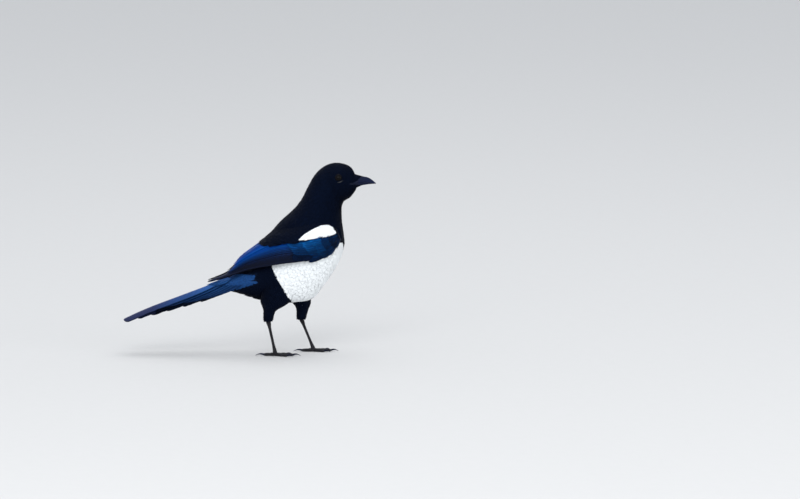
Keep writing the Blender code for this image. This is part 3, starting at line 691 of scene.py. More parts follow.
def maths(tree, operation, *sources, clamp=False):
    wires = dict(enumerate(sources))
    node = add_node(tree, "ShaderNodeMath", wires, operation=operation, use_clamp=clamp)
    return node.outputs[0]


def tinted(tree, share, first, last, mode="MIX"):
    """A mix of two colours."""
    wires = {0: share, 6: first, 7: last}
    node = add_node(tree, "ShaderNodeMix", wires, data_type="RGBA", blend_type=mode)
    return node.outputs[2]


def ranged(tree, value, low, high, new_low=0.0, new_high=1.0):
    """A value moved smoothly from one range to another."""
    wires = {"Value": value, 1: low, 2: high, 3: new_low, 4: new_high}
    node = add_node(tree, "ShaderNodeMapRange", wires, interpolation_type="SMOOTHSTEP")
    return node.outputs[0]


def sharpened(tree, share, waver=0.5):
    """A border drawn crisply, a little frayed, where a share passes one half."""
    share = maths(tree, "MULTIPLY_ADD", waver, 0.12, share)
    return ranged(tree, share, 0.50, 0.62)


def noise(tree, vector, scale, detail=3.0, roughness=0.5):
    wires = {"Vector": vector, "Scale": scale, "Detail": detail, "Roughness": roughness}
    return add_node(tree, "ShaderNodeTexNoise", wires).outputs["Fac"]


def rgba(colour):
    return (*colour, 1.0)


def attribute(tree, name):
    """The three parts of a vector that the mesh carries."""
    vector = add_node(tree, "ShaderNodeAttribute", attribute_name=name)
    parts = add_node(tree, "ShaderNodeSeparateXYZ", {0: vector.outputs["Vector"]})
    return parts.outputs


def group_of(name, inputs, outputs):
    """A new shader node group with named sockets, and its two end nodes."""
    tree = bpy.data.node_groups.new(name, "ShaderNodeTree")
    for label, default in inputs:
        socket = tree.interface.new_socket(
            label, in_out="INPUT", socket_type="NodeSocketFloat"
        )
        socket.default_value = default
    for label in outputs:
        tree.interface.new_socket(label, in_out="OUTPUT", socket_type="NodeSocketFloat")
    return tree, tree.nodes.new("NodeGroupInput"), tree.nodes.new("NodeGroupOutput")


def barbs_group():
    """The fine barbs of a vane, slanting from its shaft to its edges."""
    found = bpy.data.node_groups.get("Barbs")
    if found:
        return found
    inputs = (("Spacing", 0.6), ("Slant", 0.9), ("Shaft Width", 0.25))
    outputs = ("Height", "Streak", "Shaft", "Chance", "Along", "Edge")
    tree, given, result = group_of("Barbs", inputs, outputs)
    along, across, chance = attribute(tree, "vane")
    share, side, _ = attribute(tree, "web")
    out = maths(tree, "ABSOLUTE", across)
    slant = maths(tree, "MULTIPLY", out, given.outputs["Slant"])
    reach = maths(tree, "SUBTRACT", along, slant)
    seed = maths(tree, "MULTIPLY", chance, 61.0)
    rough = add_node(tree, "ShaderNodeCombineXYZ", {0: reach, 1: across, 2: seed})
    wander = noise(tree, rough.outputs[0], 0.35, 2.0)
    turns = maths(tree, "DIVIDE", reach, given.outputs["Spacing"])
    turns = maths(tree, "MULTIPLY_ADD", wander, 3.0, turns)
    wave = maths(tree, "SINE", maths(tree, "MULTIPLY", turns, FULL_TURN))
    thin = maths(tree, "MULTIPLY", out, 0.12)
    fine = add_node(tree, "ShaderNodeCombineXYZ", {0: reach, 1: thin, 2: seed})
    streak = noise(tree, fine.outputs[0], 1.3, 4.0, 0.6)
    shaft = ranged(tree, out, given.outputs["Shaft Width"], 0.0)
    height = maths(tree, "MULTIPLY_ADD", wave, 0.3, streak)
    height = maths(tree, "MULTIPLY_ADD", shaft, 0.8, height)
    edge = maths(tree, "ABSOLUTE", side)
    for label, source in zip(outputs, (height, streak, shaft, chance, share, edge)):
        tree.links.new(source, result.inputs[label])
    return tree


def new_material(name):
    """A new material, its tree and its Principled shader, or the old one alone."""
    found = bpy.data.materials.get(name)
    if found:
        return found, None, None
    material = bpy.data.materials.new(name)
    material.use_nodes = True
    tree = material.node_tree
    return material, tree, tree.nodes["Principled BSDF"]


def set_shader(tree, shader, **values):
    """Set or wire the sockets of a shader, named with _ for each space."""
    for label, source in values.items():
        socket = shader.inputs[label.replace("_", " ")]
        if isinstance(source, bpy.types.NodeSocket):
            tree.links.new(source, socket)
        else:
            socket.default_value = source


def bumped(tree, height, strength, distance):
    wires = {"Height": height, "Strength": strength, "Distance": distance * MM}
    return add_node(tree, "ShaderNodeBump", wires).outputs[0]


def barbs(tree, spacing=0.6, slant=0.9, shaft=0.25):
    """The Barbs group placed in a material with its own values."""
    wires = {"Spacing": spacing, "Slant": slant, "Shaft Width": shaft}
    node = tree.nodes.new("ShaderNodeGroup")
    node.node_tree = barbs_group()
    for label, value in wires.items():
        node.inputs[label].default_value = value
    return node.outputs


def black_plumage(looks):
    """Blue-black body feathers; marks hold how much blue gloss is painted into them as sheen, and
    how bare of black they are.
    """
    material, tree, shader = new_material("Black plumage")
    if tree:
        vane = barbs(tree)
        gloss, shade, white = attribute(tree, "marks")
        share = maths(tree, "MULTIPLY_ADD", vane["Streak"], 0.7, -0.1)
        share = maths(tree, "MULTIPLY_ADD", vane["Chance"], 0.5, share)
        share = maths(tree, "MULTIPLY", share, gloss, clamp=True)
        # the gloss colour is partly the plumage's own blue cast and partly a painted sheen, laid
        # into the base colour
        colour = tinted(tree, share, rgba(looks.black), rgba(looks.black_gloss))
        colour = tinted(tree, shade, colour, rgba(looks.rump_grey))
        white = sharpened(tree, white, vane["Streak"])
        colour = tinted(tree, white, colour, rgba(looks.white))
        rough = ranged(tree, vane["Streak"], 0.3, 0.7, 0.42, 0.6)
        set_shader(
            tree,
            shader,
            Base_Color=colour,
            Roughness=rough,
            Specular_IOR_Level=0.06,
            Specular_Tint=rgba(looks.black_sheen),
            Normal=bumped(tree, vane["Height"], 0.4, 0.08),
        )
    return material


def white_plumage(looks):
    """White feathers, a little greyer towards their roots."""
    material, tree, shader = new_material("White plumage")
    if tree:
        vane = barbs(tree, 0.8, 0.7, 0.2)
        share = ranged(tree, vane["Along"], 0.15, 0.8)
        share = maths(tree, "MULTIPLY_ADD", vane["Streak"], 0.5, share)
        share = maths(tree, "MULTIPLY_ADD", vane["Chance"], 0.25, share)
        share = maths(tree, "MINIMUM", share, 1.0)
        colour = tinted(tree, share, rgba(looks.white_shade), rgba(looks.white))
        _, _, black = attribute(tree, "marks")
        black = sharpened(tree, black, vane["Streak"])
        colour = tinted(tree, black, colour, rgba(looks.black))
        set_shader(
            tree,
            shader,
            Base_Color=colour,
            Roughness=0.75,
            Specular_IOR_Level=0.06,
            Normal=bumped(tree, vane["Height"], 0.22, 0.08),
        )
    return material


def wing_plumage(looks):
    """Blue wing feathers; marks hold how green, how dark (partly painted shade) and how brown each
    one is.
    """
    material, tree, shader = new_material("Wing plumage")
    if tree:
        vane = barbs(tree, 0.7, 1.0, 0.3)
        green, dark, brown = attribute(tree, "marks")
        sway = maths(tree, "MULTIPLY_ADD", vane["Chance"], 0.4, -0.2)
        streaky = maths(tree, "MULTIPLY_ADD", vane["Streak"], 0.8, -0.4)
        hue = maths(tree, "ADD", maths(tree, "ADD", green, sway), streaky, clamp=True)
        bright = tinted(tree, hue, rgba(looks.wing_blue), rgba(looks.wing_green))
        dull = tinted(tree, brown, rgba(looks.black), rgba(looks.primary_brown))
        rim = ranged(tree, vane["Edge"], 0.8, 1.0, 0.0, 0.25)
        base = ranged(tree, vane["Along"], 0.15, 0.0, 0.0, 0.3)
        # the dark mark is partly the feathers' own black and partly painted shade, darker on the
        # lower feathers
        gloom = maths(tree, "ADD", maths(tree, "ADD", dark, rim), base)
        gloom = maths(tree, "MULTIPLY_ADD", vane["Streak"], 0.5, gloom)
        gloom = maths(tree, "ADD", gloom, -0.25, clamp=True)
        colour = tinted(tree, gloom, bright, dull)
        colour = tinted(tree, maths(tree, "MULTIPLY", vane["Shaft"], 0.6), colour, rgba(looks.black))
        metal = ranged(tree, gloom, 0.0, 1.0, 0.35, 0.0)
        set_shader(
            tree,
            shader,
            Base_Color=colour,
            Roughness=ranged(tree, vane["Streak"], 0.3, 0.7, 0.30, 0.48),
            Metallic=metal,
            Specular_IOR_Level=0.12,
            Specular_Tint=rgba(looks.black_sheen),
            Normal=bumped(tree, vane["Height"], 0.4, 0.08),
        )
    return material


def tail_plumage(looks):
    """Tail feathers: green-blue at the root, then blue, purple and a dark end."""
    material, tree, shader = new_material("Tail plumage")
    if tree:
        vane = barbs(tree, 0.7, 1.1, 0.4)
        down, under, black = attribute(tree, "marks")
        along, _, _ = attribute(tree, "vane")
        sway = maths(tree, "MULTIPLY_ADD", vane["Streak"], 22.0, -11.0)
        reach = maths(tree, "ADD", maths(tree, "ADD", along, down), sway)
        colour = tinted(
            tree,
            ranged(tree, reach, 20.0, 80.0),
            rgba(looks.tail_green),
            rgba(looks.tail_blue),
        )
        colour = tinted(
            tree, ranged(tree, reach, 80.0, 135.0), colour, rgba(looks.tail_purple)
        )
        colour = tinted(tree, ranged(tree, reach, 150.0, 192.0), colour, rgba(looks.black))
        rim = ranged(tree, vane["Edge"], 0.7, 1.0, 0.0, 0.5)
        gloom = maths(tree, "MULTIPLY_ADD", vane["Streak"], 0.6, rim)
        gloom = maths(tree, "ADD", maths(tree, "ADD", gloom, -0.2), under, clamp=True)
        gloom = maths(tree, "MAXIMUM", gloom, sharpened(tree, black, vane["Streak"]))
        colour = tinted(tree, gloom, colour, rgba(looks.black))
        set_shader(
            tree,
            shader,
            Base_Color=colour,
            Roughness=ranged(tree, vane["Streak"], 0.3, 0.7, 0.28, 0.46),
            Metallic=ranged(tree, gloom, 0.0, 1.0, 0.3, 0.0),
            Specular_IOR_Level=0.14,
            Specular_Tint=rgba(looks.black_sheen),
            Normal=bumped(tree, vane["Height"], 0.4, 0.08),
        )
    return material


def skin_material(looks):
    """The skin under the feathers, marked as they are."""
    material, tree, shader = new_material("Feathered skin")
    if tree:
        white, _, _ = attribute(tree, "marks")
        place = add_node(tree, "ShaderNodeTexCoord").outputs["Object"]
        down = noise(tree, place, 900.0, 4.0)
        dark = tinted(tree, down, rgba(looks.black), rgba(looks.black_gloss))
        pale = tinted(tree, down, rgba(looks.white_shade), rgba(looks.white))
        set_shader(
            tree,
            shader,
            Base_Color=tinted(tree, sharpened(tree, white, down), dark, pale),
            Roughness=0.8,
            Specular_IOR_Level=0.04,
            Normal=bumped(tree, down, 0.6, 0.3),
        )
    return material


def grained(name, light, dark, scale, stretch_by, roughness, depth, shine=0.09):
    """A hard surface with a fine grain, drawn out along x."""
    material, tree, shader = new_material(name)
    if tree:
        place = add_node(tree, "ShaderNodeTexCoord").outputs["Object"]
        place = add_node(
            tree, "ShaderNodeMapping", {"Vector": place, "Scale": (1 / stretch_by, 1, 1)}
        ).outputs[0]
        grain = noise(tree, place, scale, 5.0, 0.6)
        broad = noise(tree, place, scale / 12, 2.0)
        share = maths(tree, "MULTIPLY_ADD", grain, 0.6, broad)
        share = ranged(tree, share, 0.45, 1.15)
        set_shader(
            tree,
            shader,
            Base_Color=tinted(tree, share, rgba(dark), rgba(light)),
            Roughness=ranged(tree, grain, 0.25, 0.75, roughness - 0.07, roughness + 0.1),
            Specular_IOR_Level=shine,
            Normal=bumped(tree, grain, 0.5, depth),
        )
    return material


def eye_material(looks):
    """A wet dark eye: a black pupil in a brown iris."""
    material, tree, shader = new_material("Eye")
    if tree:
        place = add_node(tree, "ShaderNodeTexCoord").outputs["Object"]
        x, y, z = add_node(tree, "ShaderNodeSeparateXYZ", {0: place}).outputs
        both = add_node(
            tree, "ShaderNodeCombineXYZ", {0: x, 1: maths(tree, "ABSOLUTE", y), 2: z}
        ).outputs[0]
        centre = tuple(v * MM for v in EYE_CENTRE)
        away = add_node(
            tree, "ShaderNodeVectorMath", {0: both, 1: centre}, operation="SUBTRACT"
        ).outputs[0]
        away = add_node(
            tree, "ShaderNodeVectorMath", {0: away}, operation="NORMALIZE"
        ).outputs[0]
        axis = tuple(Vector(EYE_AXIS).normalized())
        facing = add_node(
            tree, "ShaderNodeVectorMath", {0: away, 1: axis}, operation="DOT_PRODUCT"
        ).outputs["Value"]
        fibres = noise(tree, place, 2500.0, 3.0)
        iris = tinted(tree, fibres, rgba(looks.iris_dark), rgba(looks.iris))
        pupil = ranged(tree, facing, looks.pupil_edge - 0.015, looks.pupil_edge)
        rim = ranged(tree, facing, 0.72, 0.66)
        colour = tinted(tree, maths(tree, "MAXIMUM", pupil, rim), iris, (0.0, 0.0, 0.0, 1))
        set_shader(
            tree, shader, Base_Color=colour, Roughness=0.06, Specular_IOR_Level=0.1
        )
    return material


# ---- markings

# Where the white of the belly ends: above by the distance from the middle of the
# breast, and to the rear by height
WHITE_TOP = ((0.0, 146.5), (4.0, 148.0), (9.0, 155.0), (13.0, 159.5), (40.0, 161.0))
WHITE_REAR = (
    (70.0, 63.0),
    (80.1, 58.5),
    (92.8, 50.0),
    (107.6, 41.5),
    (119.8, 35.5),
    (125.9, 33.0),
    (150.0, 31.0),
)
WHITE_ON_THIGH = 80.0


def evenly(soft, distance):
    """From 0 to 1 as a distance grows from -soft to soft, and one half at 0."""
    return np.clip(0.5 + 0.5 * distance / soft, 0, 1)


def white_share(points, soft=2.5):
    """1 where the plumage of the body is white, 0 where it is black."""
    x, y, z = np.moveaxis(points, -1, 0)
    top = np.interp(np.abs(y), *np.array(WHITE_TOP).T)
    rear = np.interp(z, *np.array(WHITE_REAR).T)
    return evenly(soft, np.minimum(top - z, x - rear))


def black_share(points):
    return 1 - white_share(points)


def thigh_white(points):
    """How white a thigh is: only where the belly's feathers run on over its top."""
    return np.minimum(white_share(points), evenly(2.5, points[..., 2] - WHITE_ON_THIGH))


def border_size(points):
    """How much smaller feathers are next to the edge of the white."""
    white = white_share(points, 11.0)
    return 1 - 0.3 * np.clip(4 * white * (1 - white), 0, 1)


def rump_share(ring, turn):
    """How grey the band over the rump is."""
    band = step(14.6, 15.3, ring) * (1 - step(15.9, 16.6, ring))
    return 0.5 * band * (1 - step(0.5, 0.9, np.abs(turn)))


# ---- the skin

COAT_DEPTH = ((0, 0.7), (3, 0.9), (5, 1.4), (8, 2.0), (12, 2.3), (18, 1.6))
THIGH_DEPTH = 1.1
EYE_SOCKET = 5.0


def coat_depth(ring):
    """How far the skin of the body lies under the tips of its feathers."""
    return rows_at(COAT_DEPTH, ring)[0]


def set_marks(piece, marks):
    held = piece.data.attributes.new("marks", "FLOAT_VECTOR", "POINT")
    held.data.foreach_set("vector", marks.astype(np.float32).ravel())


def make_skin(coat):
    """One skin over head, neck, trunk and thighs, marked as the feathers are."""
    bm = bmesh.new()

    def trunk(share, turn):
        ring = share * LAST_RING
        return body_chart(ring, turn, -coat_depth(ring))

    add_tube(bm, 72, 140, trunk)
    for side_name in SIDES:
        chart = thigh_chart(side_name)
        low, high = THIGH_RINGS[side_name][0][0], THIGH_RINGS[side_name][-1][0]

        def thigh(share, turn, chart=chart, low=low, high=high):
            return chart(mix(low + 0.4, high - 1.0, share), turn, -THIGH_DEPTH)

        add_tube(bm, 36, 60, thigh)
    piece = remeshed(to_piece("skin", bm), 1.4, 3)
    points = np.zeros(len(piece.data.vertices) * 3)
    piece.data.vertices.foreach_get("co", points)
    points = points.reshape(-1, 3) / MM
    thigh = (points[:, 2] < WHITE_ON_THIGH + 8) & (np.abs(points[:, 1]) > 15)
    white = np.where(thigh, thigh_white(points), white_share(points))
    set_marks(piece, stacked(white, 0.0, 0.0))
    return piece


LID_ROWS = (
    (0.00, 5.4, 1.8),
    (0.25, 4.8, 2.7),
    (0.50, 4.3, 3.35),
    (0.70, 3.95, 3.8),
    (0.85, 3.7, 3.75),
    (1.00, 3.6, 3.1),
)
# The fold under the eye, coloured pale as a painted highlight: distance from the axis,
# height, thickness, half its turn, and how far that turn is moved forwards
LOWER_LID = (6.1, 3.95, 0.5, 0.72, 0.38)


def make_lids(side_name):
    """The bare wrinkled rim of skin round an eye."""
    side = SIDES[side_name]
    axis = Vector((EYE_AXIS[0], EYE_AXIS[1] * side, EYE_AXIS[2])).normalized()
    turn_to = axis.to_track_quat("Z", "X").to_matrix()
    centre = Vector((EYE_CENTRE[0], EYE_CENTRE[1] * side, EYE_CENTRE[2]))
    bm = bmesh.new()

    def lid(share, turn):
        radius, height = rows_at(LID_ROWS, share)
        ahead = np.cos(turn)
        radius = radius * (1 + 0.05 * ahead**2)
        wrinkle = 0.09 * np.sin(turn * 27) * np.sin(share * math.pi)
        beads = 0.10 * np.sin(turn * 36) * np.exp(-(((share - 0.7) / 0.1) ** 2))
        height = height + wrinkle + beads
        local = stacked(radius * np.cos(turn), radius * np.sin(turn), height)
        return local @ np.array(turn_to).T + np.array(centre)

    add_tube(bm, 96, 14, lid)
    return to_piece(f"lids_{side_name}", bm)


def make_lower_lid(side_name):
    """The soft fold under an eye, coloured pale as a painted highlight."""
    side = SIDES[side_name]
    axis = Vector((EYE_AXIS[0], EYE_AXIS[1] * side, EYE_AXIS[2])).normalized()
    turn_to = np.array(axis.to_track_quat("Z", "X").to_matrix()).T
    centre = np.array((EYE_CENTRE[0], EYE_CENTRE[1] * side, EYE_CENTRE[2]))
    radius, height, thickness, reach, forward = LOWER_LID
    bm = bmesh.new()

    def fold(share, turn):
        angle = math.pi - forward * side + mix(-reach, reach, share)
        around = thickness * np.sin(math.pi * share) ** 0.7 + 0.03
        out = radius + 0.9 * (2 * share - 1) ** 2
        out = out + around * np.cos(turn) + 0.02 * np.sin(share * 95)
        local = stacked(out * np.cos(angle), out * np.sin(angle),
                        height + around * 0.7 * np.sin(turn))
        return local @ turn_to + centre

    add_tube(bm, 12, 60, fold)
    return to_piece(f"lower_lid_{side_name}", bm)


def make_eyeball(side_name):
    side = SIDES[side_name]
    axis = Vector((EYE_AXIS[0], EYE_AXIS[1] * side, EYE_AXIS[2])).normalized()
    centre = (EYE_CENTRE[0], EYE_CENTRE[1] * side, EYE_CENTRE[2])
    bm = bmesh.new()
    add_ball(bm, centre, axis, (EYE_RADIUS - 0.2,) * 2 + (EYE_RADIUS,), 48)
    return to_piece(f"eyeball_{side_name}", bm)


# ---- the coat of the body

# Feathers of the body: ring, length, width, how often they overlap
TUFTS = (
    (0, 2.6, 0.75, 3.6),
    (1, 3.2, 0.85, 3.8),
    (3, 4.4, 1.05, 4.2),
    (4.5, 5.6, 1.5, 4.8),
    (5.5, 7.5, 2.6, 4.8),
    (7, 10.0, 4.0, 5.0),
    (9, 13.5, 5.6, 5.8),
    (11, 15.5, 6.8, 6.0),
    (15, 17.0, 7.0, 6.0),
    (18, 14.0, 6.6, 6.5),
)
# Strands of loose barbs round a feather, by ring
STRANDS = ((0, 0.0), (4.6, 0.0), (5.5, 3.0), (8, 5.5), (18, 6.5))


def tuft_patch(p, q, low, high):
    """Where a root lies on the unwrap of the skin."""
    return stacked(0.01 + 0.98 * p, mix(low, high, q))


def lay_strands(coat, kind, chart, laid, count, chance, stain=None, loose=0.5):
    """Loose barbs that leave a feather's rim and blur its edge."""
    start, end, half, heights, marks, patch = laid
    who = np.repeat(np.arange(len(start)), count)
    total = len(who)
    if not total:
        return
    first = np.cumsum(count) - count
    order = (np.arange(total) - first[who] + 0.5) / count[who]
    side = order * 2 - 1 + chance.uniform(-0.12, 0.12, total)
    leave = chance.uniform(0.25, 0.62, total)
    reach = chance.uniform(0.93, 1.12, total) - 0.16 * side**2
    flow = (end - start)[who]
    rate = stretch(chart, start[who, 0], start[who, 1], 1)
    out = half[who] / rate
    begin, stop = start[who] + flow * leave[:, None], start[who] + flow * reach[:, None]
    begin[:, 1] += side * out * 0.55
    stop[:, 1] += side * out * chance.uniform(0.9, 1.25, total)
    span = heights[who, 1] - heights[who, 0]
    tall = stacked(
        heights[who, 0] + span * leave**0.7,
        heights[who, 1] + chance.uniform(-0.1, loose, total),
    )
    width = half[who] * chance.uniform(0.07, 0.14, total)
    luck = chance.random(total)
    far = np.linalg.norm(chart(*stop.T) - chart(*begin.T), axis=-1)
    kept = far < 2.0 * np.median(far)
    who, begin, stop, width, tall, luck = (
        each[kept] for each in (who, begin, stop, width, tall, luck)
    )
    coat.lay(kind, chart, begin, stop, width, tall, marks[who], patch[who], luck, stain)


def eye_clear(start, end, bare=3.95):
    """False for feathers that would lie over an eye."""
    clear = np.ones(len(start), bool)
    axis = np.array(Vector(EYE_AXIS).normalized())
    for share in (0.0, 0.5, 1.0):
        places = mix(start, end, share)
        points = body_chart(places[:, 0], places[:, 1])
        points[:, 1] = np.abs(points[:, 1])
        away = points - np.array(EYE_CENTRE)
        aside = away - np.outer(away @ axis, axis)
        clear &= np.linalg.norm(aside, axis=1) > bare
    return clear


def under_wing(points):
    """True where a folded wing covers the body."""
    u, over_low, under_high = wing_cover(points)
    return (u > 4) & (u < 185) & (over_low > 9) & (under_high > 7)


def mouth_clear(start, end):
    """False for feathers that would hide the bill's edges towards the gape."""
    places = mix(start, end, 0.5)
    x, _, z = np.moveaxis(body_chart(places[:, 0], places[:, 1]), -1, 0)
    strip = np.interp(x, (140.0, 143.0, 150.0), (0.0, 1.0, 1.7))
    return (x < 140.0) | (np.abs(z - MOUTH_LEVEL) > strip)


def not_tail_blue(points, soft=2.5):
    """0 on the sides of the body's end, where the tail's blue shows forwards."""
    x, y, z = np.moveaxis(points, -1, 0)
    inside_it = np.minimum(TAIL_BLUE_TOP - z, np.abs(y) - 6.0)
    inside_it = np.minimum(inside_it, z - TAIL_BLUE_LOW[0] - TAIL_BLUE_LOW[1] * x)
    inside_it = np.minimum(inside_it, np.interp(z, *np.array(TAIL_BLUE_FRONT).T) - x)
    seam = np.maximum(np.abs(z - TAIL_BLUE_SEAM) - 0.7, 0.5 * (3.0 - x))
    inside_it = np.minimum(inside_it, seam)
    return 1 - evenly(soft, inside_it)


TAIL_BLUE_FRONT = ((98.0, 6.0), (103.6, 12.5), (106.0, 10.5), (107.2, 7.0), (113.5, 8.5))
TAIL_BLUE_TOP = 115.0
TAIL_BLUE_LOW = (98.9, 0.39)
TAIL_BLUE_SEAM = 106.9
MOUTH_LEVEL = 243.1


def make_body_coats(looks, coat_look):
    """Feathers of head, neck, back, breast, belly and vent, a piece for each side."""
    chance = np.random.default_rng(21)

    def density(ring, turn):
        length, width, cover = rows_at(TUFTS, ring)
        small = border_size(body_chart(ring, turn))
        return cover * coat_look.density / (length * width * small**2)

    cells = (560, 230)
    ring, turn = scattered(body_chart, (0.1, 17.9), (-math.pi, math.pi), cells, density)
    ring = ring + chance.uniform(-0.02, 0.02, len(ring))
    turn = turn + chance.uniform(-0.015, 0.015, len(ring))
    length, width, _ = rows_at(TUFTS, ring)
    small = border_size(body_chart(ring, turn))
    length, width = length * small, width * small
    length = length * chance.uniform(0.85, 1.15, len(ring)) * coat_look.length
    half = width / 2 * chance.uniform(0.9, 1.15, len(ring))
    rate = stretch(body_chart, ring, turn, 0)
    aside = chance.normal(0, 0.06, len(ring)) * length
    aside = aside / stretch(body_chart, ring, turn, 1)
    last = np.minimum(ring + length / rate, LAST_RING + 0.6)
    start, end = stacked(ring, turn), stacked(last, turn + aside)
    points = body_chart(ring, turn)
    keep = ~under_wing(points) & eye_clear(start, end) & mouth_clear(start, end)
    start, end, half, ring, turn = (v[keep] for v in (start, end, half, ring, turn))
    tips = body_chart(end[:, 0], end[:, 1])
    white = white_share(tips) > 0.5
    blue = not_tail_blue(tips) < 0.5
    depth = coat_depth(ring)
    stand = np.interp(ring, (0, 5, 9, 18), (0.1, 0.15, 0.25, 0.25))
    throat = np.interp(ring, (0, 1.5, 3, 5, 6.5), (0.3, 2.0, 2.1, 1.0, 0))
    stand = stand + throat * step(2.0, 3.0, np.abs(turn))
    brow = np.interp(ring, (0, 0.8, 2.2), (1.4, 1.2, 0))
    stand = stand + brow * step(1.3, 0.4, np.abs(turn))
    vent = np.interp(ring, (14.2, 15.4, 16.2, 17.2), (0, 2.6, 3.8, 0))
    stand = stand + vent * step(2.1, 2.9, np.abs(turn))
    rough = np.where(white, 0.35, 1.0)
    heights = stacked(-depth * 0.9, stand + chance.uniform(-0.12, 0.15, len(ring)) * rough)
    # how much painted blue sheen each black feather gets, by ring
    gloss = np.interp(ring, (0, 4, 9, 14), (0.5, 0.6, 0.8, 0.3))
    marks = stacked(np.where(white, 0.0, gloss), rump_share(end[:, 0], turn), 0.0)
    marks[blue] = (52.0, 0.0, 0.0)
    patch = tuft_patch(ring / LAST_RING, turn / FULL_TURN + 0.5, 0.01, 0.78)
    count = rows_at(STRANDS, ring)[0] * np.where(white, 1.3, 1.0)
    count = np.round(count * small[keep] ** 0.5).astype(int)
    belly = np.abs(turn) > 1.45
    black = ~white & ~blue
    stains = {
        "black_feathers": white_share, "white_feathers": black_share,
        "tail_feathers": not_tail_blue,
    }
    regions = {
        "head_coat": (black & (ring < 4.6), black_plumage, "black_feathers"),
        "neck_coat": (black & (ring >= 4.6) & (ring < 7.6), black_plumage, "black_feathers"),
        "breast_coat": (
            black & (ring >= 7.6) & (ring < 13.0) & belly, black_plumage, "black_feathers"
        ),
        "back_coat": (black & (ring >= 7.6) & ~belly, black_plumage, "black_feathers"),
        "vent_coat": (black & (ring >= 13.0) & belly, black_plumage, "black_feathers"),
        "belly_coat": (white, white_plumage, "white_feathers"),
        "tail_side_coat": (blue, tail_plumage, "tail_feathers"),
    }
    fine = Kind(lock_shape(3), tuft_outline, 0.14, rise=0.7, soft=0.55)
    broad = Kind(
        vane_shape(6, 4), contour_outline, 0.14, camber=0.01, rise=0.6, crowd=1.3,
        fringe=0.12, soft=0.75,
    )
    strand = Kind(lock_shape(3), lock_outline, 0.1, rise=1.0, soft=0.85)
    for name, (chosen, plumage, slot) in regions.items():
        kind = fine if name == "head_coat" else broad
        for side_name, side in SIDES.items():
            here = chosen & (turn * side >= 0)
            coat = Coat()
            laid = [v[here] for v in (start, end, half, heights, marks, patch)]
            luck = chance.random(int(here.sum()))
            coat.lay(kind, body_chart, *laid, luck, stains[slot])
            loose = 0.12 if name == "belly_coat" else 0.5
            lay_strands(
                coat, strand, body_chart, laid, count[here], chance, stains[slot], loose
            )
            piece = coat.make(f"{name}_{side_name}")
            dressed(piece, plumage(looks))


THIGH_COVER = 4.8
# How far the feathers stand out round the ankle, by height over it
THIGH_STAND = ((0, 1.9), (6, 2.3), (12, 1.5), (19, 0.3), (60, 0.2))
# Feathers of the thighs: height over the ankle, length, width
THIGH_TUFTS = ((0, 3.2, 1.5), (8, 5.0, 2.4), (20, 8.5, 3.8), (60, 11.0, 5.0))


def make_thigh_coat(side_name, looks, coat_look):
    """The short black feathers of a thigh, down to the ankle."""
    chance = np.random.default_rng(31 + SIDES[side_name])
    chart = thigh_chart(side_name)
    low, high = THIGH_RINGS[side_name][0][0], THIGH_RINGS[side_name][-1][0] - 0.5

    def density(level, turn):
        length, width = rows_at(THIGH_TUFTS, level - low)
        return THIGH_COVER * coat_look.density / (length * width)

    level, turn = scattered(chart, (low + 2.0, high), (-math.pi, math.pi), (90, 60), density)
    length, width = rows_at(THIGH_TUFTS, level - low)
    count = len(level)
    length = length * chance.uniform(0.85, 1.15, count) * coat_look.length
    half = width / 2 * chance.uniform(0.9, 1.15, count)
    back = chance.normal(0.1, 0.12, count) * length / stretch(chart, level, turn, 1)
    down = np.maximum(level - length / stretch(chart, level, turn, 0), low - 3.0)
    start, end = stacked(level, turn), stacked(down, turn + back * np.sign(turn))
    stand = np.interp(level - low, *np.array(THIGH_STAND).T)
    heights = stacked(-THIGH_DEPTH, stand + chance.uniform(-0.1, 0.3, count))
    marks = np.tile((0.3, 0.0, 0.0), (count, 1))
    rows = (0.80, 0.89) if side_name == "right" else (0.90, 0.99)
    patch = tuft_patch((level - low) / (high - low), turn / FULL_TURN + 0.5, *rows)
    coat = Coat()
    kind = Kind(
        vane_shape(4, 3), contour_outline, 0.12, rise=0.6, crowd=1.2, fringe=0.1, soft=0.7
    )
    laid = [start, end, half, heights, marks, patch]
    coat.lay(kind, chart, *laid, chance.random(count), thigh_white)
    strand = Kind(lock_shape(3), lock_outline, 0.1, soft=0.8)
    lay_strands(coat, strand, chart, laid, np.full(count, 3), chance, thigh_white)
    piece = coat.make(f"thigh_coat_{side_name}")
    return dressed(piece, black_plumage(looks))


# ---- the wings

# Feathers of the wing by row: how many; roots' u; roots' share of the arc; tips' u
# and share, lowest first; width; lift; fall per millimetre of width; and how green,
# how dark and how brown the lowest and the highest of them are. The darkness is
# partly the feathers' own black and partly painted shade: darker on the lower
# feathers, lighter on the upper ones where light falls from above.
FLIGHT_ROWS = {
    "primaries": (
        9, (46, 52), (0.00, 0.20), (172, 187, 195, 196.5, 194, 187), (0.08, 0.28),
        10.2, 0.6, 0.13, ((0.0, 1.0, 0.6), (0.0, 0.95, 0.4)),
    ),
    "secondaries": (
        9, (58, 58), (0.25, 0.60), (168, 164, 160, 157, 154, 150), (0.34, 0.62),
        9.5, 1.1, 0.10, ((0.1, 0.9, 0.2), (0.08, 0.0, 0.0)),
    ),
    "tertials": (
        4, (56, 52), (0.62, 0.84), (155, 150, 146, 139), (0.58, 0.76),
        12.5, 1.8, 0.08, ((0.05, 0.0, 0.0), (0.05, 0.25, 0.0)),
    ),
    "alula": (
        3, (4, 8), (-0.05, 0.04), (52, 49, 44), (-0.04, 0.06),
        5.2, 1.9, 0.12, ((0.4, 0.95, 0.0), (0.4, 0.85, 0.0)),
    ),
}
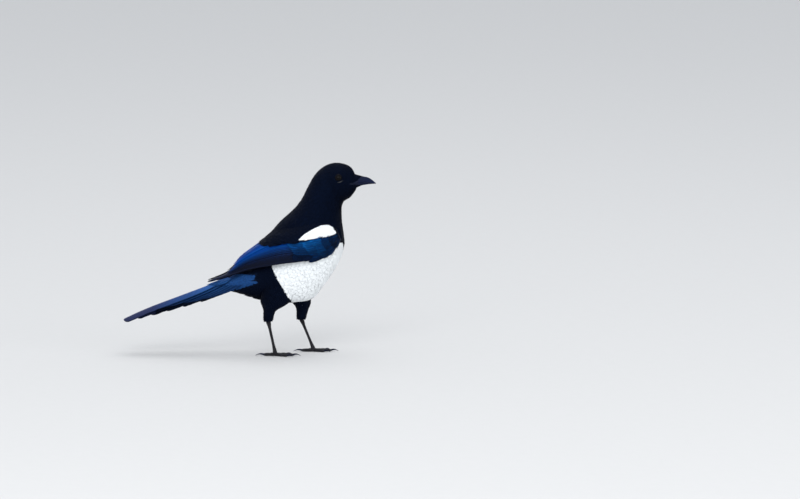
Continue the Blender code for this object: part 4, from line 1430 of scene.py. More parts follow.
COVERT_ROWS = {
    "primary_coverts": (
        8, (16, 20), (-0.02, 0.14), (72, 69, 64), (0.05, 0.2),
        7.6, 1.4, 0.14, ((0.4, 0.95, 0.1), (0.4, 0.9, 0.0)),
    ),
    "greater_coverts": (
        12, (26, 34), (0.18, 0.86), (68, 71, 72, 72, 70, 67, 62), (0.20, 0.84),
        7.6, 2.1, 0.10, ((0.6, 0.85, 0.0), (1.0, -0.5, 0.0)),
    ),
    "median_coverts": (
        13, (20, 24), (0.12, 0.86), (47, 51, 53, 52, 48), (0.14, 0.84),
        7.2, 2.6, 0.08, ((0.7, 0.8, 0.0), (1.0, -0.5, 0.0)),
    ),
    "lesser_coverts": (
        16, (9, 14), (-0.06, 0.84), (33, 36, 38, 37, 33), (-0.05, 0.84),
        6.8, 3.0, 0.08, ((0.7, 0.9, 0.0), (0.9, -0.1, 0.0)),
    ),
    "small_coverts": (
        17, (1, 5), (-0.1, 0.8), (22, 24, 26, 25, 21), (-0.08, 0.82),
        6.0, 3.3, 0.08, ((0.7, 0.9, 0.0), (0.6, 0.75, 0.0)),
    ),
    "bend_coverts": (
        17, (-1, 0), (-0.14, 0.78), (10, 13, 15, 14, 11), (-0.13, 0.8),
        5.6, 3.5, 0.08, ((0.6, 0.95, 0.0), (0.6, 0.9, 0.0)),
    ),
}
ARC_LIMIT = 0.42


def tier_chart(side, width):
    """A wing's chart by u and by the share of the arc where a vane's low edge lies."""
    chart = wing_chart(side)

    def place(u, share, height=0.0):
        arc = wing_arc(u)
        return chart(u, share * arc + np.minimum(width / 2, arc * ARC_LIMIT), height)

    return place


def lay_row(coat, row, kind, side, chance, patches, coat_look):
    """Lay one row of a wing's feathers, lowest first, each over the one below."""
    count, roots, root_shares, tips, tip_shares, width, lift, fall, shade = row
    order = np.linspace(0, 1, count)
    tip_u = np.interp(order, np.linspace(0, 1, len(tips)), tips)
    tip_u = tip_u + chance.uniform(-1.2, 1.2, count)
    start = stacked(mix(*roots, order), mix(*root_shares, order))
    end = stacked(tip_u, mix(*tip_shares, order) + chance.uniform(-0.008, 0.008, count))
    tops = np.full(count, float(lift))
    heights = stacked(tops - np.where(start[:, 0] < 6, 3.9, 1.3), tops)
    # how green, how dark (partly painted shade) and how brown, from the lowest feather to the
    # highest
    marks = mix(np.array(shade[0]), np.array(shade[1]), order[:, None])
    marks = marks + chance.normal(0, 1, (count, 1)) * np.array((0.08, 0.04, 0.0))
    patch = patches(start)
    kind.tilt = fall
    chart = tier_chart(side, width)
    half = np.full(count, width / 2)
    coat.lay(kind, chart, start, end, half, heights, marks, patch, chance.random(count))
    return chart, [start, end, half, heights, marks, patch]


def wing_patch(start):
    return tuft_patch(start[:, 0] / WING_LENGTH, np.clip(start[:, 1], 0, 1), 0.01, 0.98)


def make_wing_skin(side_name):
    """The folded arm and hand that the wing's feathers cover."""
    side = SIDES[side_name]
    chart = wing_chart(side)
    bm = bmesh.new()

    def arm(share, turn):
        u = mix(WING_CORE[0][0], WING_CORE[-1][0], share)
        depth, first, last = rows_at(WING_CORE, u)
        v = wing_arc(u) * mix(first, last, 0.5 - 0.5 * np.cos(turn))
        return chart(u, v, depth * (0.5 * np.sin(turn) - 0.5) - 0.4)

    add_tube(bm, 40, 60, arm)
    piece = to_piece(f"wing_{side_name}_skin", bm)
    set_marks(piece, np.tile((0.2, 1.0, 0.1), (len(piece.data.vertices), 1)))
    return piece


def make_wing(side_name, looks, coat_look):
    """A folded wing: its skin, its flight feathers and its coverts."""
    side = SIDES[side_name]
    chance = np.random.default_rng(41 + side)
    skin = make_wing_skin(side_name)
    dressed(skin, wing_plumage(looks), [f"wing_{side_name}"])
    flight = Coat()
    strips = np.linspace(0.0, 1.0, len(FLIGHT_ROWS) + 1)
    for index, (name, row) in enumerate(FLIGHT_ROWS.items()):
        outline = pointed_outline if name in ("primaries", "alula") else flight_outline
        kind = Kind(
            vane_shape(34, 10), outline, 0.3, crowd=1.5, widest=ARC_LIMIT, fringe=0.02,
            strips=True, soft=0.35,
        )
        band = (strips[index] + 0.004, strips[index + 1] - 0.004)
        lay_row(flight, row, kind, side, chance, lambda start, band=band: band, coat_look)
    piece = flight.make(f"wing_{side_name}_flight")
    dressed(piece, wing_plumage(looks))
    coverts = Coat()
    strand = Kind(lock_shape(4), lock_outline, 0.12, soft=0.6)
    for row in COVERT_ROWS.values():
        kind = Kind(
            vane_shape(14, 6), contour_outline, 0.25, crowd=1.4, widest=ARC_LIMIT,
            fringe=0.05, rise=0.5, soft=0.4,
        )
        chart, laid = lay_row(coverts, row, kind, side, chance, wing_patch, coat_look)
        lay_strands(coverts, strand, chart, laid, np.full(len(laid[0]), 8), chance)
    piece = coverts.make(f"wing_{side_name}_coverts")
    return dressed(piece, wing_plumage(looks))


# The white patch over the shoulder: its outline on the wing, u and height
SCAPULAR_PATCH = (
    (3.0, 11.6),
    (2.6, 15.7),
    (5.0, 22.2),
    (9.1, 26.8),
    (19.9, 29.2),
    (31.3, 28.6),
    (42.4, 26.4),
    (49.7, 23.8),
    (56.5, 20.6),
    (42.0, 17.0),
    (28.7, 14.1),
    (20.0, 12.4),
    (11.5, 11.8),
)
PATCH_INSET = 1.6
# Black feathers of the back that lie over the wing, outlined in the same way
MANTLE_PATCH = (
    (10.0, 45.0),
    (10.0, 27.0),
    (19.9, 29.0),
    (32.1, 27.2),
    (45.8, 24.1),
    (55.3, 19.8),
    (64.0, 17.4),
    (73.8, 16.6),
    (84.0, 19.8),
    (95.4, 24.8),
    (113.6, 28.0),
    (113.6, 45.0),
)


# Where the tips of its feathers lie, so that the lowest end at its lower edge
SCAPULAR_TIPS = (
    (3.0, 14.4),
    (2.6, 16.2),
    (5.0, 22.2),
    (9.1, 26.8),
    (19.9, 29.2),
    (31.3, 28.6),
    (42.4, 26.4),
    (49.7, 23.8),
    (56.5, 21.2),
    (42.0, 19.6),
    (28.7, 16.9),
    (20.0, 15.2),
    (11.5, 14.6),
)


def share_at(u, q, height):
    """The share of the wing's arc that lies at a height q over its axis."""
    low, _, _, _, radius, heading, _ = wing_section(u)
    sine = (low + radius * np.sin(heading) - q) / (radius + height)
    return (heading - np.arcsin(np.clip(sine, -1, 1))) * radius / wing_arc(u)


def on_arc(outline, height):
    """An outline by u and share, its upper limit moved past the wing's edge."""
    u, q = np.array(outline).T
    share = np.where(q > 40, 1.32, share_at(u, np.minimum(q, 40.0), height))
    return np.stack([u, share], -1)


def inside(outline, p, q):
    """True for places inside an outline."""
    found = np.zeros(np.shape(p), bool)
    last = outline[-1]
    for here in outline:
        crosses = (here[1] > q) != (last[1] > q)
        rise = (last[1] - here[1]) or 1e-9
        found ^= crosses & (p < here[0] + (last[0] - here[0]) * (q - here[1]) / rise)
        last = here
    return found


def outside_patch(points):
    """1 outside the outline of the white patch over the shoulder, 0 inside it."""
    x, z = points[..., 0] - WING_BEND[0], points[..., 2] - WING_BEND[1]
    u = -math.cos(WING_SLOPE) * x - math.sin(WING_SLOPE) * z
    q = -math.sin(WING_SLOPE) * x + math.cos(WING_SLOPE) * z
    near = np.full(u.shape, 1e9)
    last = SCAPULAR_PATCH[-1]
    for here in SCAPULAR_PATCH:
        du, dq = here[0] - last[0], here[1] - last[1]
        t = np.clip(((u - last[0]) * du + (q - last[1]) * dq) / (du**2 + dq**2), 0, 1)
        near = np.minimum(near, np.hypot(u - last[0] - t * du, q - last[1] - t * dq))
        last = here
    signed = np.where(inside(SCAPULAR_PATCH, u, q), near, -near)
    return 1 - evenly(2.5, signed)


def inside_patch(points):
    return 1 - outside_patch(points)


def lay_patch(outline, side, seed, length, width, tops, cover, coat_look, stain, settle):
    """Feathers whose tips fill an outline on the wing, with loose barbs.

    stain gives their third mark, and settle how far they sink towards the rear.
    """
    chance = np.random.default_rng(seed)
    plain = wing_chart(side)

    def chart(u, share, height=0.0):
        return plain(u, share * wing_arc(u), height)

    def density(u, share):
        small = np.interp(u, (4, 26), (0.45, 1.0)) ** 2
        return cover * coat_look.density / (length * width * small)

    u, share = scattered(chart, (-2, 114), (0.55, 1.32), (170, 80), density)
    keep = inside(on_arc(outline, tops[1]), u, share)
    u, share = u[keep], share[keep]
    count = len(u)
    small = np.interp(u, (4, 26), (0.4, 1.0))
    long = length * small * chance.uniform(0.85, 1.1, count) * coat_look.length
    slant = chance.normal(-0.01, 0.015, count)
    end = stacked(u, share)
    start = stacked(np.maximum(u - long, 0.5), share - slant)
    half = width / 2 * small * chance.uniform(0.85, 1.1, count)
    top = mix(*tops, np.clip(small, 0, 1)) + chance.uniform(-0.15, 0.3, count)
    top = top - settle * step(62.0, 108.0, u)
    heights = stacked(top - 2.2 * small, top)
    patch = tuft_patch(np.clip((u + 2) / 116, 0, 1), np.clip(share / 1.32, 0, 1), 0.01, 0.98)
    marks = np.tile((0.5, 0.0, 0.0), (count, 1))
    coat = Coat()
    kind = Kind(
        vane_shape(8, 5), contour_outline, 0.2, camber=0.015, rise=0.6, fringe=0.08, soft=0.7,
        widest=0.13,
    )
    laid = [start, end, half, heights, marks, patch]
    coat.lay(kind, chart, *laid, chance.random(count), stain)
    strand = Kind(lock_shape(3), lock_outline, 0.12, soft=0.8, widest=0.03)
    lay_strands(coat, strand, chart, laid, np.full(count, 8), chance, stain)
    return coat


def make_scapulars(side_name, looks, coat_look):
    """The white feathers over the shoulder, and the black ones behind and above them."""
    side = SIDES[side_name]
    coat = lay_patch(
        SCAPULAR_TIPS, side, 51 + side, 16.0, 6.4, (3.6, 4.2), 10.0, coat_look,
        outside_patch, 0.0,
    )
    piece = coat.make(f"scapular_coat_{side_name}")
    node = [f"scapulars_{side_name}"]
    dressed(piece, white_plumage(looks), node)
    coat = lay_patch(
        MANTLE_PATCH, side, 55 + side, 18.0, 8.0, (3.8, 4.7), 7.0, coat_look,
        inside_patch, 2.8,
    )
    piece = coat.make(f"mantle_coat_{side_name}")
    return dressed(piece, black_plumage(looks))


BEND_AHEAD = 7.0
BEND_REACH = 1.2
BEND_COUNT = (9, 17)


def bend_chart(side):
    """A chart from the side of the breast, p 0, over the bend of a wing, p 1."""
    rings, turns = np.meshgrid(np.linspace(6, 12, 121), np.linspace(1.2, 3.1, 96))
    body = body_chart(rings, turns, -1.5).reshape(-1, 3)
    shares = np.linspace(-0.1, 1.1, 25)
    wing = wing_chart(1)
    last = wing(BEND_REACH, shares * wing_arc(BEND_REACH), 0.9)

    def on_body(ahead):
        return np.array([
            body[np.argmin((body[:, 0] - x - ahead) ** 2 + (body[:, 2] - z) ** 2)]
            for x, _, z in last
        ])

    first, under = on_body(BEND_AHEAD), on_body(0.0)
    sunk = step(0.78, 1.05, shares) + step(0.12, -0.08, shares)
    last = mix(last, under, sunk[:, None])

    def place(p, share, height=0.0):
        p, share, height = np.broadcast_arrays(p, share, height)
        begin = np.stack([np.interp(share, shares, first[:, i]) for i in range(3)], -1)
        stop = np.stack([np.interp(share, shares, last[:, i]) for i in range(3)], -1)
        middle = mix(begin, stop, 0.5) + np.array((1.2, 0.8, 0.0))
        part = p[..., None]
        along = begin * (1 - part) ** 2 + 2 * middle * part * (1 - part) + stop * part**2
        out = stacked(0.55 * (1 - p), 0.8 + 0 * p, 0 * p)
        return (along + out * height[..., None]) * np.array((1, side, 1))

    return place


def make_bend_coat(side_name, looks):
    """Feathers of the breast's side that lap over the bend of the folded wing."""
    side = SIDES[side_name]
    chance = np.random.default_rng(59 + side)
    chart = bend_chart(side)
    p, share = np.meshgrid(np.linspace(-0.15, 0.62, BEND_COUNT[0]),
                           np.linspace(-0.02, 1.02, BEND_COUNT[1]), indexing="ij")
    p = p.ravel() + chance.uniform(-0.05, 0.05, p.size)
    share = share.ravel() + chance.uniform(-0.03, 0.03, share.size)
    count = len(p)
    start = stacked(p, share)
    end = stacked(np.minimum(p + chance.uniform(0.4, 0.5, count), 1.08), share)
    half = chance.uniform(1.3, 1.8, count)
    heights = stacked(-1.2, 0.3 + chance.uniform(-0.1, 0.3, count))
    marks = np.tile((0.6, 0.0, 0.0), (count, 1))
    patch = tuft_patch(0.45 + 0.1 * p, 0.5 + side * 0.2 + 0.05 * share, 0.0, 1.0)
    kind = Kind(vane_shape(6, 4), contour_outline, 0.15, rise=0.6, fringe=0.1, soft=0.7)
    laid = [start, end, half, heights, marks, patch]
    coat = Coat()
    coat.lay(kind, chart, *laid, chance.random(count), white_share)
    strand = Kind(lock_shape(3), lock_outline, 0.1, soft=0.8)
    lay_strands(coat, strand, chart, laid, np.full(count, 5), chance, white_share)
    return dressed(coat.make(f"bend_coat_{side_name}"), black_plumage(looks))


# ---- the tail

TAIL_VANE = 0.45
TAIL_BROADER = 1.26
TAIL_STEP = 1.12
TAIL_COVERTS = {
    "above": (15, (-14, 2), 11.0, (24, 39), 7.0, (0.9, 0.9), 0.035, 0.0),
    "below": (21, (-20, 2), 8.5, (24, 40), 8.5, (-14.0, -6.9), 0.035, 1.0),
}


def tail_black(points):
    """1 along the tail's lower edges, where its colour is turned black."""
    x, _, z = np.moveaxis(points, -1, 0)
    below = TAIL_BLACK_LINE[0] + TAIL_BLACK_LINE[1] * x - z
    start, end = TAIL_BLACK_REACH
    return evenly(2.5, np.minimum(below, np.minimum(start - x, 0.3 * (x - end))))


TAIL_BLACK_LINE = (94.6, 0.224)
TAIL_BLACK_REACH = (-46.0, -132.0)


def make_tail(looks, coat_look):
    """Twelve long graduated tail feathers, and the coverts over their roots."""
    chance = np.random.default_rng(61)
    pairs = len(TAIL_SHORTER)
    rows = []
    for pair in range(pairs):
        share = pair / (pairs - 1)
        for order, side in enumerate(SIDES.values()):
            layer = 2 * pair + order if pair < 2 else pair + 2
            top = -TAIL_STEP * layer
            length = TAIL_LENGTH - TAIL_SHORTER[pair]
            centres = mix(*TAIL_ROOT_CENTRES, share) * side, mix(*TAIL_CENTRES, share) * side
            rows.append((mix(*TAIL_ROOTS, share), length, *centres, top, share))
    root, reach, root_out, out, top, share = np.array(rows).T
    start, end = stacked(root, root_out), stacked(reach, out)
    half = mix(*TAIL_WIDTHS, share) / 2 * TAIL_BROADER
    # the second mark darkens the outer pairs, which lie lowest in the folded tail
    marks = stacked(root * 0 + TAIL_SHORTER_MARK * share, 0.2 * share, 0.0)
    kind = Kind(
        vane_shape(46, 12), tail_outline, TAIL_VANE, crowd=1.5, opening=0.5,
        fringe=0.015, strips=True, camber=0.004,
    )
    coat = Coat()
    heights = stacked(top, top)
    luck = chance.random(len(rows))
    coat.lay(
        kind, tail_chart, start, end, half, heights, marks, (0.004, 0.996), luck, tail_black
    )
    piece = coat.make("tail_feathers")
    dressed(piece, tail_plumage(looks), ["tail"])
    coat = Coat()
    strand = Kind(lock_shape(4), lock_outline, 0.2)
    for count, roots, spread, tips, width, tops, fall, under in TAIL_COVERTS.values():
        side = chance.permutation(np.linspace(-1, 1, count))
        middle = 1 - np.abs(side)
        begin = stacked(mix(*roots, chance.random(count)), side * spread * 0.6)
        stop = stacked(mix(*tips, middle) + chance.uniform(-3, 3, count), side * spread)
        lift = stacked(*tops) - fall * np.abs(side * spread)[:, None]
        lift = lift + chance.uniform(-0.5, 0.4, (count, 1))
        kind = Kind(
            vane_shape(16, 6), contour_outline, 0.4, crowd=1.3, opening=0.5, fringe=0.05
        )
        marks = np.tile((0.0, under, 0.0), (count, 1))
        patch = tuft_patch((begin[:, 0] + 20) / 60, side / 2 + 0.5, 0.01, 0.98)
        laid = [begin, stop, np.full(count, width / 2), lift, marks, patch]
        coat.lay(kind, tail_chart, *laid, chance.random(count))
        lay_strands(coat, strand, tail_chart, laid, np.full(count, 12), chance)
    piece = coat.make("tail_coverts")
    return dressed(piece, tail_plumage(looks))


TAIL_SHORTER_MARK = 40.0


# ---- bill, legs and feet


# Half the width of the bill's edges, by x, from the gape forwards
GAPE_ROWS = (
    (139.0, 15.6),
    (142.0, 14.9),
    (145.0, 13.0),
    (148.0, 10.5),
    (150.5, 7.9),
    (153.0, 6.2),
    (156.0, 4.6),
    (160.0, 3.0),
)
HORN_START = 139.5


def make_bill(looks):
    """Both halves of the bill, with edges that run back to the gape."""
    halves = (
        ("bill_upper", bill_chart, BILL_RINGS[-1][0]),
        ("bill_lower", lower_bill_chart, LOWER_BILL_END),
    )
    # the horn's blue tint is a painted sky reflection; its grain is its own
    horn = grained("Bill horn", looks.horn_grain_and_sky, looks.horn, 700.0, 6.0, 0.36, 0.06)
    for node, chart, end in halves:
        bm = bmesh.new()

        def half(share, turn, chart=chart, end=end):
            x = mix(HORN_START, end, 1 - (1 - share) ** 1.3)
            points = chart(x, turn)
            side = np.sin(turn)
            edge = np.abs(chart(x, math.pi / 2 + 0 * x)[..., 1])
            wider = np.maximum(rows_at(GAPE_ROWS, np.minimum(x, 160.0))[0] - edge, 0)
            points[..., 1] += np.sign(side) * np.abs(side) ** 9 * wider
            return points

        add_tube(bm, 40, 60, half)
        piece = to_piece(f"{node}_horn", bm)
        dressed(piece, horn, [node])


# Feathers round the bill's root: roots' x, tips' x in the middle and at the side, the
# roots' height over the horn there, the tips' height, half the width, how many a side
FACE_ROWS = {
    bill_chart: (
        (148.2, (154.0, 150.8), (3.4, 0.7), 1.2, 0.6, 44),
        (149.2, (157.5, 151.5), (2.5, 0.7), 0.7, 0.5, 52),
        (150.4, (161.0, 152.5), (1.2, 0.6), 0.25, 0.4, 64),
    ),
    lower_bill_chart: (
        (150.0, (155.5, 151.2), (1.2, 0.9), 0.5, 0.55, 30),
        (151.0, (158.5, 152.4), (0.8, 0.6), 0.25, 0.45, 36),
    ),
}
FACE_TURN = 1.3


def make_bristles(looks):
    """Stiff short feathers that lie forwards over the bill's root."""
    chance = np.random.default_rng(71)
    coat = Coat()
    kinds = (
        Kind(lock_shape(5), tuft_outline, 0.25, rise=0.6, soft=0.3),
        Kind(lock_shape(5), lock_outline, 0.25, rise=0.7, soft=0.3),
    )
    for chart, rows in FACE_ROWS.items():
        for row in rows:
            root_x, tips, tops, tip_height, width, count = row
            kind = kinds[row is rows[-1]]
            for side in SIDES.values():
                angle = np.linspace(0.03, FACE_TURN, count) + chance.uniform(-0.02, 0.02, count)
                aside = np.clip(angle / FACE_TURN, 0, 1)
                root = root_x + chance.uniform(-0.5, 0.5, count)
                tip = mix(*tips, aside**0.8) + chance.uniform(-1.4, 0.8, count) * (1.1 - aside)
                down = chance.uniform(-0.05, 0.12, count)
                start, end = stacked(root, angle * side), stacked(tip, (angle + down) * side)
                top = mix(*tops, aside) + chance.uniform(-0.15, 0.15, count)
                heights = stacked(top, tip_height + chance.uniform(-0.1, 0.25, count))
                marks = np.tile((0.4, 0.0, 0.0), (count, 1))
                patch = tuft_patch(angle / 10 + 0.01, 0.5 + side * 0.02 + 0 * angle, 0.0, 1.0)
                half = width * chance.uniform(0.7, 1.2, count)
                luck = chance.random(count)
                coat.lay(kind, chart, start, end, half, heights, marks, patch, luck)
    piece = coat.make("bill_bristles")
    return dressed(piece, black_plumage(looks))


def foot_centre(side_name):
    """Where a foot's toes meet, on the floor."""
    out = THIGH_RINGS[side_name][0][4] * SIDES[side_name]
    return np.array((FOOT_AT[side_name], out, 0.0))


def toe_frame(side_name, toe):
    """The middle of the foot, and the ways ahead and across of one toe."""
    turn = TOES[toe][0]
    ahead = np.array((math.cos(turn), math.sin(turn) * SIDES[side_name], 0.0))
    return foot_centre(side_name), ahead, np.cross(ahead, (0.0, 0.0, 1.0))


SCUTES_ON_TARSUS = 9


def make_leg(side_name, looks):
    """A bare leg and foot in one skin, with scutes in front and on the toes."""
    ankle_height, _, _, _, ankle_out = THIGH_RINGS[side_name][0]
    side = SIDES[side_name]
    bm = bmesh.new()

    def tarsus(share, turn):
        share = mix(-0.1, 1.0, share)
        half_length, half_width = rows_at(TARSUS_ROWS, share)
        x = mix(ANKLE[side_name], FOOT_AT[side_name], share)
        level = mix(ankle_height - GAP, TARSUS_FOOT, share)
        wave = (share * SCUTES_ON_TARSUS) % 1.0
        front = step(-0.2, 0.4, np.cos(turn))
        proud = front * 0.16 * (1 - wave**3) + 0.05 * (1 - front) * np.sin(share * 90)
        x = x + (half_length + proud) * np.cos(turn)
        y = (ankle_out + (half_width + proud) * np.sin(turn)) * side
        return stacked(x, y, level)

    add_tube(bm, 28, 130, tarsus)

    def sole(share, turn):
        radius = SOLE_RADIUS * (1 - 0.18 * share)
        local = stacked(radius * np.cos(turn), radius * 0.88 * np.sin(turn))
        level = mix(0.9, TARSUS_FOOT + 1.0, share)
        return np.concatenate([local, stacked(level + 0 * turn)], -1) + foot_centre(side_name)

    add_tube(bm, 28, 16, sole)
    for toe, (_, length, radii, pads, _) in TOES.items():
        centre, ahead, across = toe_frame(side_name, toe)

        def toe_surface(share, turn, toe=toe, length=length, radii=radii, pads=pads,
                        centre=centre, ahead=ahead, across=across):
            swell = 1 + PAD_SWELL * np.sin(pads * math.pi * share) ** 2
            radius = mix(*radii, share) * swell
            level = mix(*radii, share) * (1 - TOE_SINK)
            wave = (share * length / 1.9) % 1.0
            above = step(0.1, 0.6, np.sin(turn))
            proud = 0.13 * above * (1 - wave**3)
            below = step(0.2, 0.8, -np.sin(turn))
            proud = proud + 0.08 * below * np.sin(share * length * 5) * np.cos(turn * 9)
            radius = radius + proud
            flat = radius * np.cos(turn)
            tall = np.maximum(level + radius * np.sin(turn), 0.05)
            ends = np.sqrt(np.clip(1 - np.clip((share - 0.93) / 0.07, 0, 1) ** 2, 0.1, 1))
            return (
                centre
                + ahead * (length * share)[..., None]
                + across * (flat * ends)[..., None]
                + np.array((0, 0, 1.0)) * mix(level, tall, ends)[..., None]
            )

        add_tube(bm, 24, 60, toe_surface)
    piece = remeshed(to_piece(f"leg_{side_name}", bm), 0.33, 2)
    flat = np.zeros(len(piece.data.vertices) * 3)
    piece.data.vertices.foreach_get("co", flat)
    flat = flat.reshape(-1, 3)
    flat[:, 2] = np.maximum(flat[:, 2], 0.0)
    piece.data.vertices.foreach_set("co", flat.ravel())
    skin = grained("Leg scutes", looks.leg_light, looks.leg, 1500.0, 1.0, 0.42, 0.1)
    return dressed(piece, skin, [f"tarsus_{side_name}", f"foot_{side_name}"])


def make_claws(side_name, looks):
    """The curved claws of one foot."""
    # the claws' blue tint is a painted sky reflection; their grain is their own
    horn = grained("Claw horn", looks.horn_grain_and_sky, looks.horn, 1500.0, 5.0, 0.34, 0.05)
    for toe, (_, length, radii, _, claw_length) in TOES.items():
        centre, ahead, across = toe_frame(side_name, toe)
        root_radius = radii[1] * CLAW_RADIUS
        root_height = radii[1] * (1 - TOE_SINK) + 0.1

        def claw(share, turn, length=length, claw_length=claw_length, centre=centre,
                 ahead=ahead, across=across, root_radius=root_radius,
                 root_height=root_height):
            radius = mix(root_radius, CLAW_TIP[0], share**1.2)
            rise = CLAW_ARCH * np.sin(math.pi * np.clip(share, 0, 1))
            level = mix(root_height, CLAW_TIP[1], share) + rise
            reach = length - 0.8 + (claw_length + 0.8 + GAP) * share
            return (
                centre
                + ahead * reach[..., None]
                + across * (radius * 0.8 * np.cos(turn))[..., None]
                + np.array((0, 0, 1.0)) * (level + radius * np.sin(turn))[..., None]
            )

        bm = bmesh.new()
        add_tube(bm, 16, 20, claw)
        piece = to_piece(f"nail_{side_name}_{toe}", bm)
        dressed(piece, horn, [f"claw_{side_name}_{toe}"])


# ---- stage


def add_area_light(name, place, target, size, power, colour=(1, 1, 1)):
    light = bpy.data.lights.new(name, "AREA")
    light.shape, light.size, light.size_y = "RECTANGLE", size[0], size[1]
    light.energy, light.color = power, colour
    holder = bpy.data.objects.new(name, light)
    bpy.context.scene.collection.objects.link(holder)
    holder.location = place
    ahead = Vector(target) - Vector(place)
    holder.rotation_euler = ahead.to_track_quat("-Z", "Y").to_euler()


CAMERA_AIM = (212.7, 0.0, 148.1)
CAMERA_RISE = math.radians(8)
CAMERA_DISTANCE = 13.0
FRAME_WIDTH = 1.128
SENSOR = 36.0


def make_stage(stage):
    """A wide pale floor, soft lights and the camera at the photo's angle."""
    bm = bmesh.new()
    bmesh.ops.create_grid(bm, x_segments=8, y_segments=8, size=stage.floor_size / 2)
    bmesh.ops.translate(bm, verts=bm.verts, vec=(0, 0, -0.0004))
    mesh = bpy.data.meshes.new("floor")
    bm.to_mesh(mesh)
    bm.free()
    floor = bpy.data.objects.new("floor", mesh)
    bpy.context.scene.collection.objects.link(floor)
    material, tree, shader = new_material("Pale floor")
    if tree:
        place = add_node(tree, "ShaderNodeTexCoord").outputs["Object"]
        grain = noise(tree, place, 60.0, 4.0)
        colour = tinted(tree, grain, rgba([v * 0.97 for v in stage.floor]), rgba(stage.floor))
        set_shader(tree, shader, Base_Color=colour, Roughness=0.85)
    mesh.materials.append(material)
    world = bpy.data.worlds.new("Studio")
    world.use_nodes = True
    sky = world.node_tree.nodes["Background"]
    sky.inputs["Color"].default_value = rgba(stage.sky)
    sky.inputs["Strength"].default_value = stage.sky_strength
    bpy.context.scene.world = world
    bpy.context.scene.view_settings.view_transform = "Standard"
    aim = (0.06, 0, 0.16)
    add_area_light("key", (-0.5, -3.2, 2.3), aim, (2.4, 2.0), 52 * stage.brightness)
    add_area_light("top", (0.2, 0.8, 3.6), aim, (3.0, 3.0), 30 * stage.brightness)
    add_area_light("front", (3.0, -1.6, 1.0), aim, (1.8, 1.8), 20 * stage.brightness)
    camera = bpy.data.cameras.new("camera")
    holder = bpy.data.objects.new("camera", camera)
    bpy.context.scene.collection.objects.link(holder)
    away = Vector((0, -math.cos(CAMERA_RISE), math.sin(CAMERA_RISE)))
    holder.location = Vector(CAMERA_AIM) * MM + away * CAMERA_DISTANCE
    holder.rotation_euler = (-away).to_track_quat("-Z", "Y").to_euler()
    camera.sensor_width = SENSOR
    camera.lens = SENSOR * CAMERA_DISTANCE / FRAME_WIDTH
    camera.clip_end = 100.0
    bpy.context.scene.camera = holder


# ---- settings, operators and panel


def colour_of(name, description, default):
    return FloatVectorProperty(
        name=name, description=description, default=default, size=3, subtype="COLOR",
        min=0.0, max=1.0,
    )


class MagpieLooks(bpy.types.PropertyGroup):
    """Colours of the bird."""

    black: colour_of("Black", "Black of the plumage", (0.0018, 0.0026, 0.0062))
    # partly the plumage's own blue, partly a painted sheen
    black_gloss: colour_of("Black gloss", "Blue cast on black, partly painted sheen", (0.0024, 0.0050, 0.0160))
    black_sheen: colour_of("Black sheen", "Tint of shine on black", (0.16, 0.36, 1.0))
    white: colour_of("White", "White of the shoulder and belly", (0.90, 0.935, 0.95))
    white_shade: colour_of("White shade", "Roots of white feathers", (0.84, 0.885, 0.94))
    rump_grey: colour_of("Rump grey", "Band over the rump", (0.10, 0.10, 0.11))
    wing_blue: colour_of("Wing blue", "Secondaries and tertials", (0.0010, 0.051, 0.30))
    wing_green: colour_of("Wing green", "Coverts of the wing", (0.0040, 0.115, 0.37))
    primary_brown: colour_of("Primary brown", "Primaries", (0.0105, 0.0105, 0.0175))
    tail_green: colour_of("Tail green", "Root of the tail", (0.025, 0.110, 0.34))
    tail_blue: colour_of("Tail blue", "Middle of the tail", (0.0125, 0.052, 0.175))
    tail_purple: colour_of("Tail purple", "Far part of the tail", (0.016, 0.022, 0.065))
    # painted reflection: the blue of both horn colours stands in for the sky reflected on bill and
    # claws; their light and dark grain is the horn's own
    horn: colour_of("Horn", "Dark of bill and claws", (0.0025, 0.0045, 0.0125))
    horn_grain_and_sky: colour_of("Horn light", "Lighter grain of horn, blue as painted sky reflection", (0.0050, 0.0095, 0.0360))
    leg: colour_of("Leg", "Dark of the legs", (0.0055, 0.0055, 0.0070))
    leg_light: colour_of("Leg light", "Worn edges of scutes", (0.022, 0.022, 0.026))
    lid: colour_of("Lid", "Bare rim of the eye", (0.0018, 0.0022, 0.0040))
    lid_light: colour_of("Lid light", "Wrinkles of the rim", (0.0045, 0.0050, 0.0080))
    # painted highlight: the pale colour of the fold under the eye stands in for light on it
    fold_painted_highlight: colour_of("Fold painted highlight", "Fold under the eye, painted highlight", (0.110, 0.112, 0.108))
    iris: colour_of("Iris", "Eye, light part", (0.0045, 0.0028, 0.0021))
    iris_dark: colour_of("Iris dark", "Eye, dark part", (0.0016, 0.0011, 0.0010))
    pupil_edge: FloatProperty(
        name="Pupil edge", description="Cosine of the pupil's half angle", default=0.86,
        min=0.5, max=1.0,
    )


class MagpieCoat(bpy.types.PropertyGroup):
    """How dense and how long the feathers are."""

    density: FloatProperty(
        name="Density", description="Feathers, as a share of the usual", default=1.0,
        min=0.2, max=1.5,
    )
    length: FloatProperty(
        name="Length", description="Length of body feathers, as a share", default=1.0,
        min=0.5, max=1.3,
    )


class MagpieStage(bpy.types.PropertyGroup):
    """Floor and light."""

    floor_size: FloatProperty(
        name="Floor", description="Side of the floor", default=80.0, unit="LENGTH",
    )
    floor: colour_of("Floor colour", "Colour of the floor", (0.60, 0.60, 0.595))
    sky: colour_of("Sky colour", "Colour of the light all round", (0.92, 0.95, 1.0))
    sky_strength: FloatProperty(
        name="Sky strength", description="Light all round", default=0.95, min=0.0,
    )
    brightness: FloatProperty(
        name="Brightness", description="Strength of the lights", default=1.12, min=0.0,
    )


class MakeSkin(bpy.types.Operator):
    """Make the skin of the body and thighs."""

    bl_idname = "magpie.skin"
    bl_label = "Skin"

    def execute(self, context):
        looks = context.scene.magpie_looks
        nodes = ["head", "neck", "torso", "thigh_right", "thigh_left"]
        skin = make_skin(context.scene.magpie_coat)
        dressed(skin, skin_material(looks), nodes)
        return {"FINISHED"}


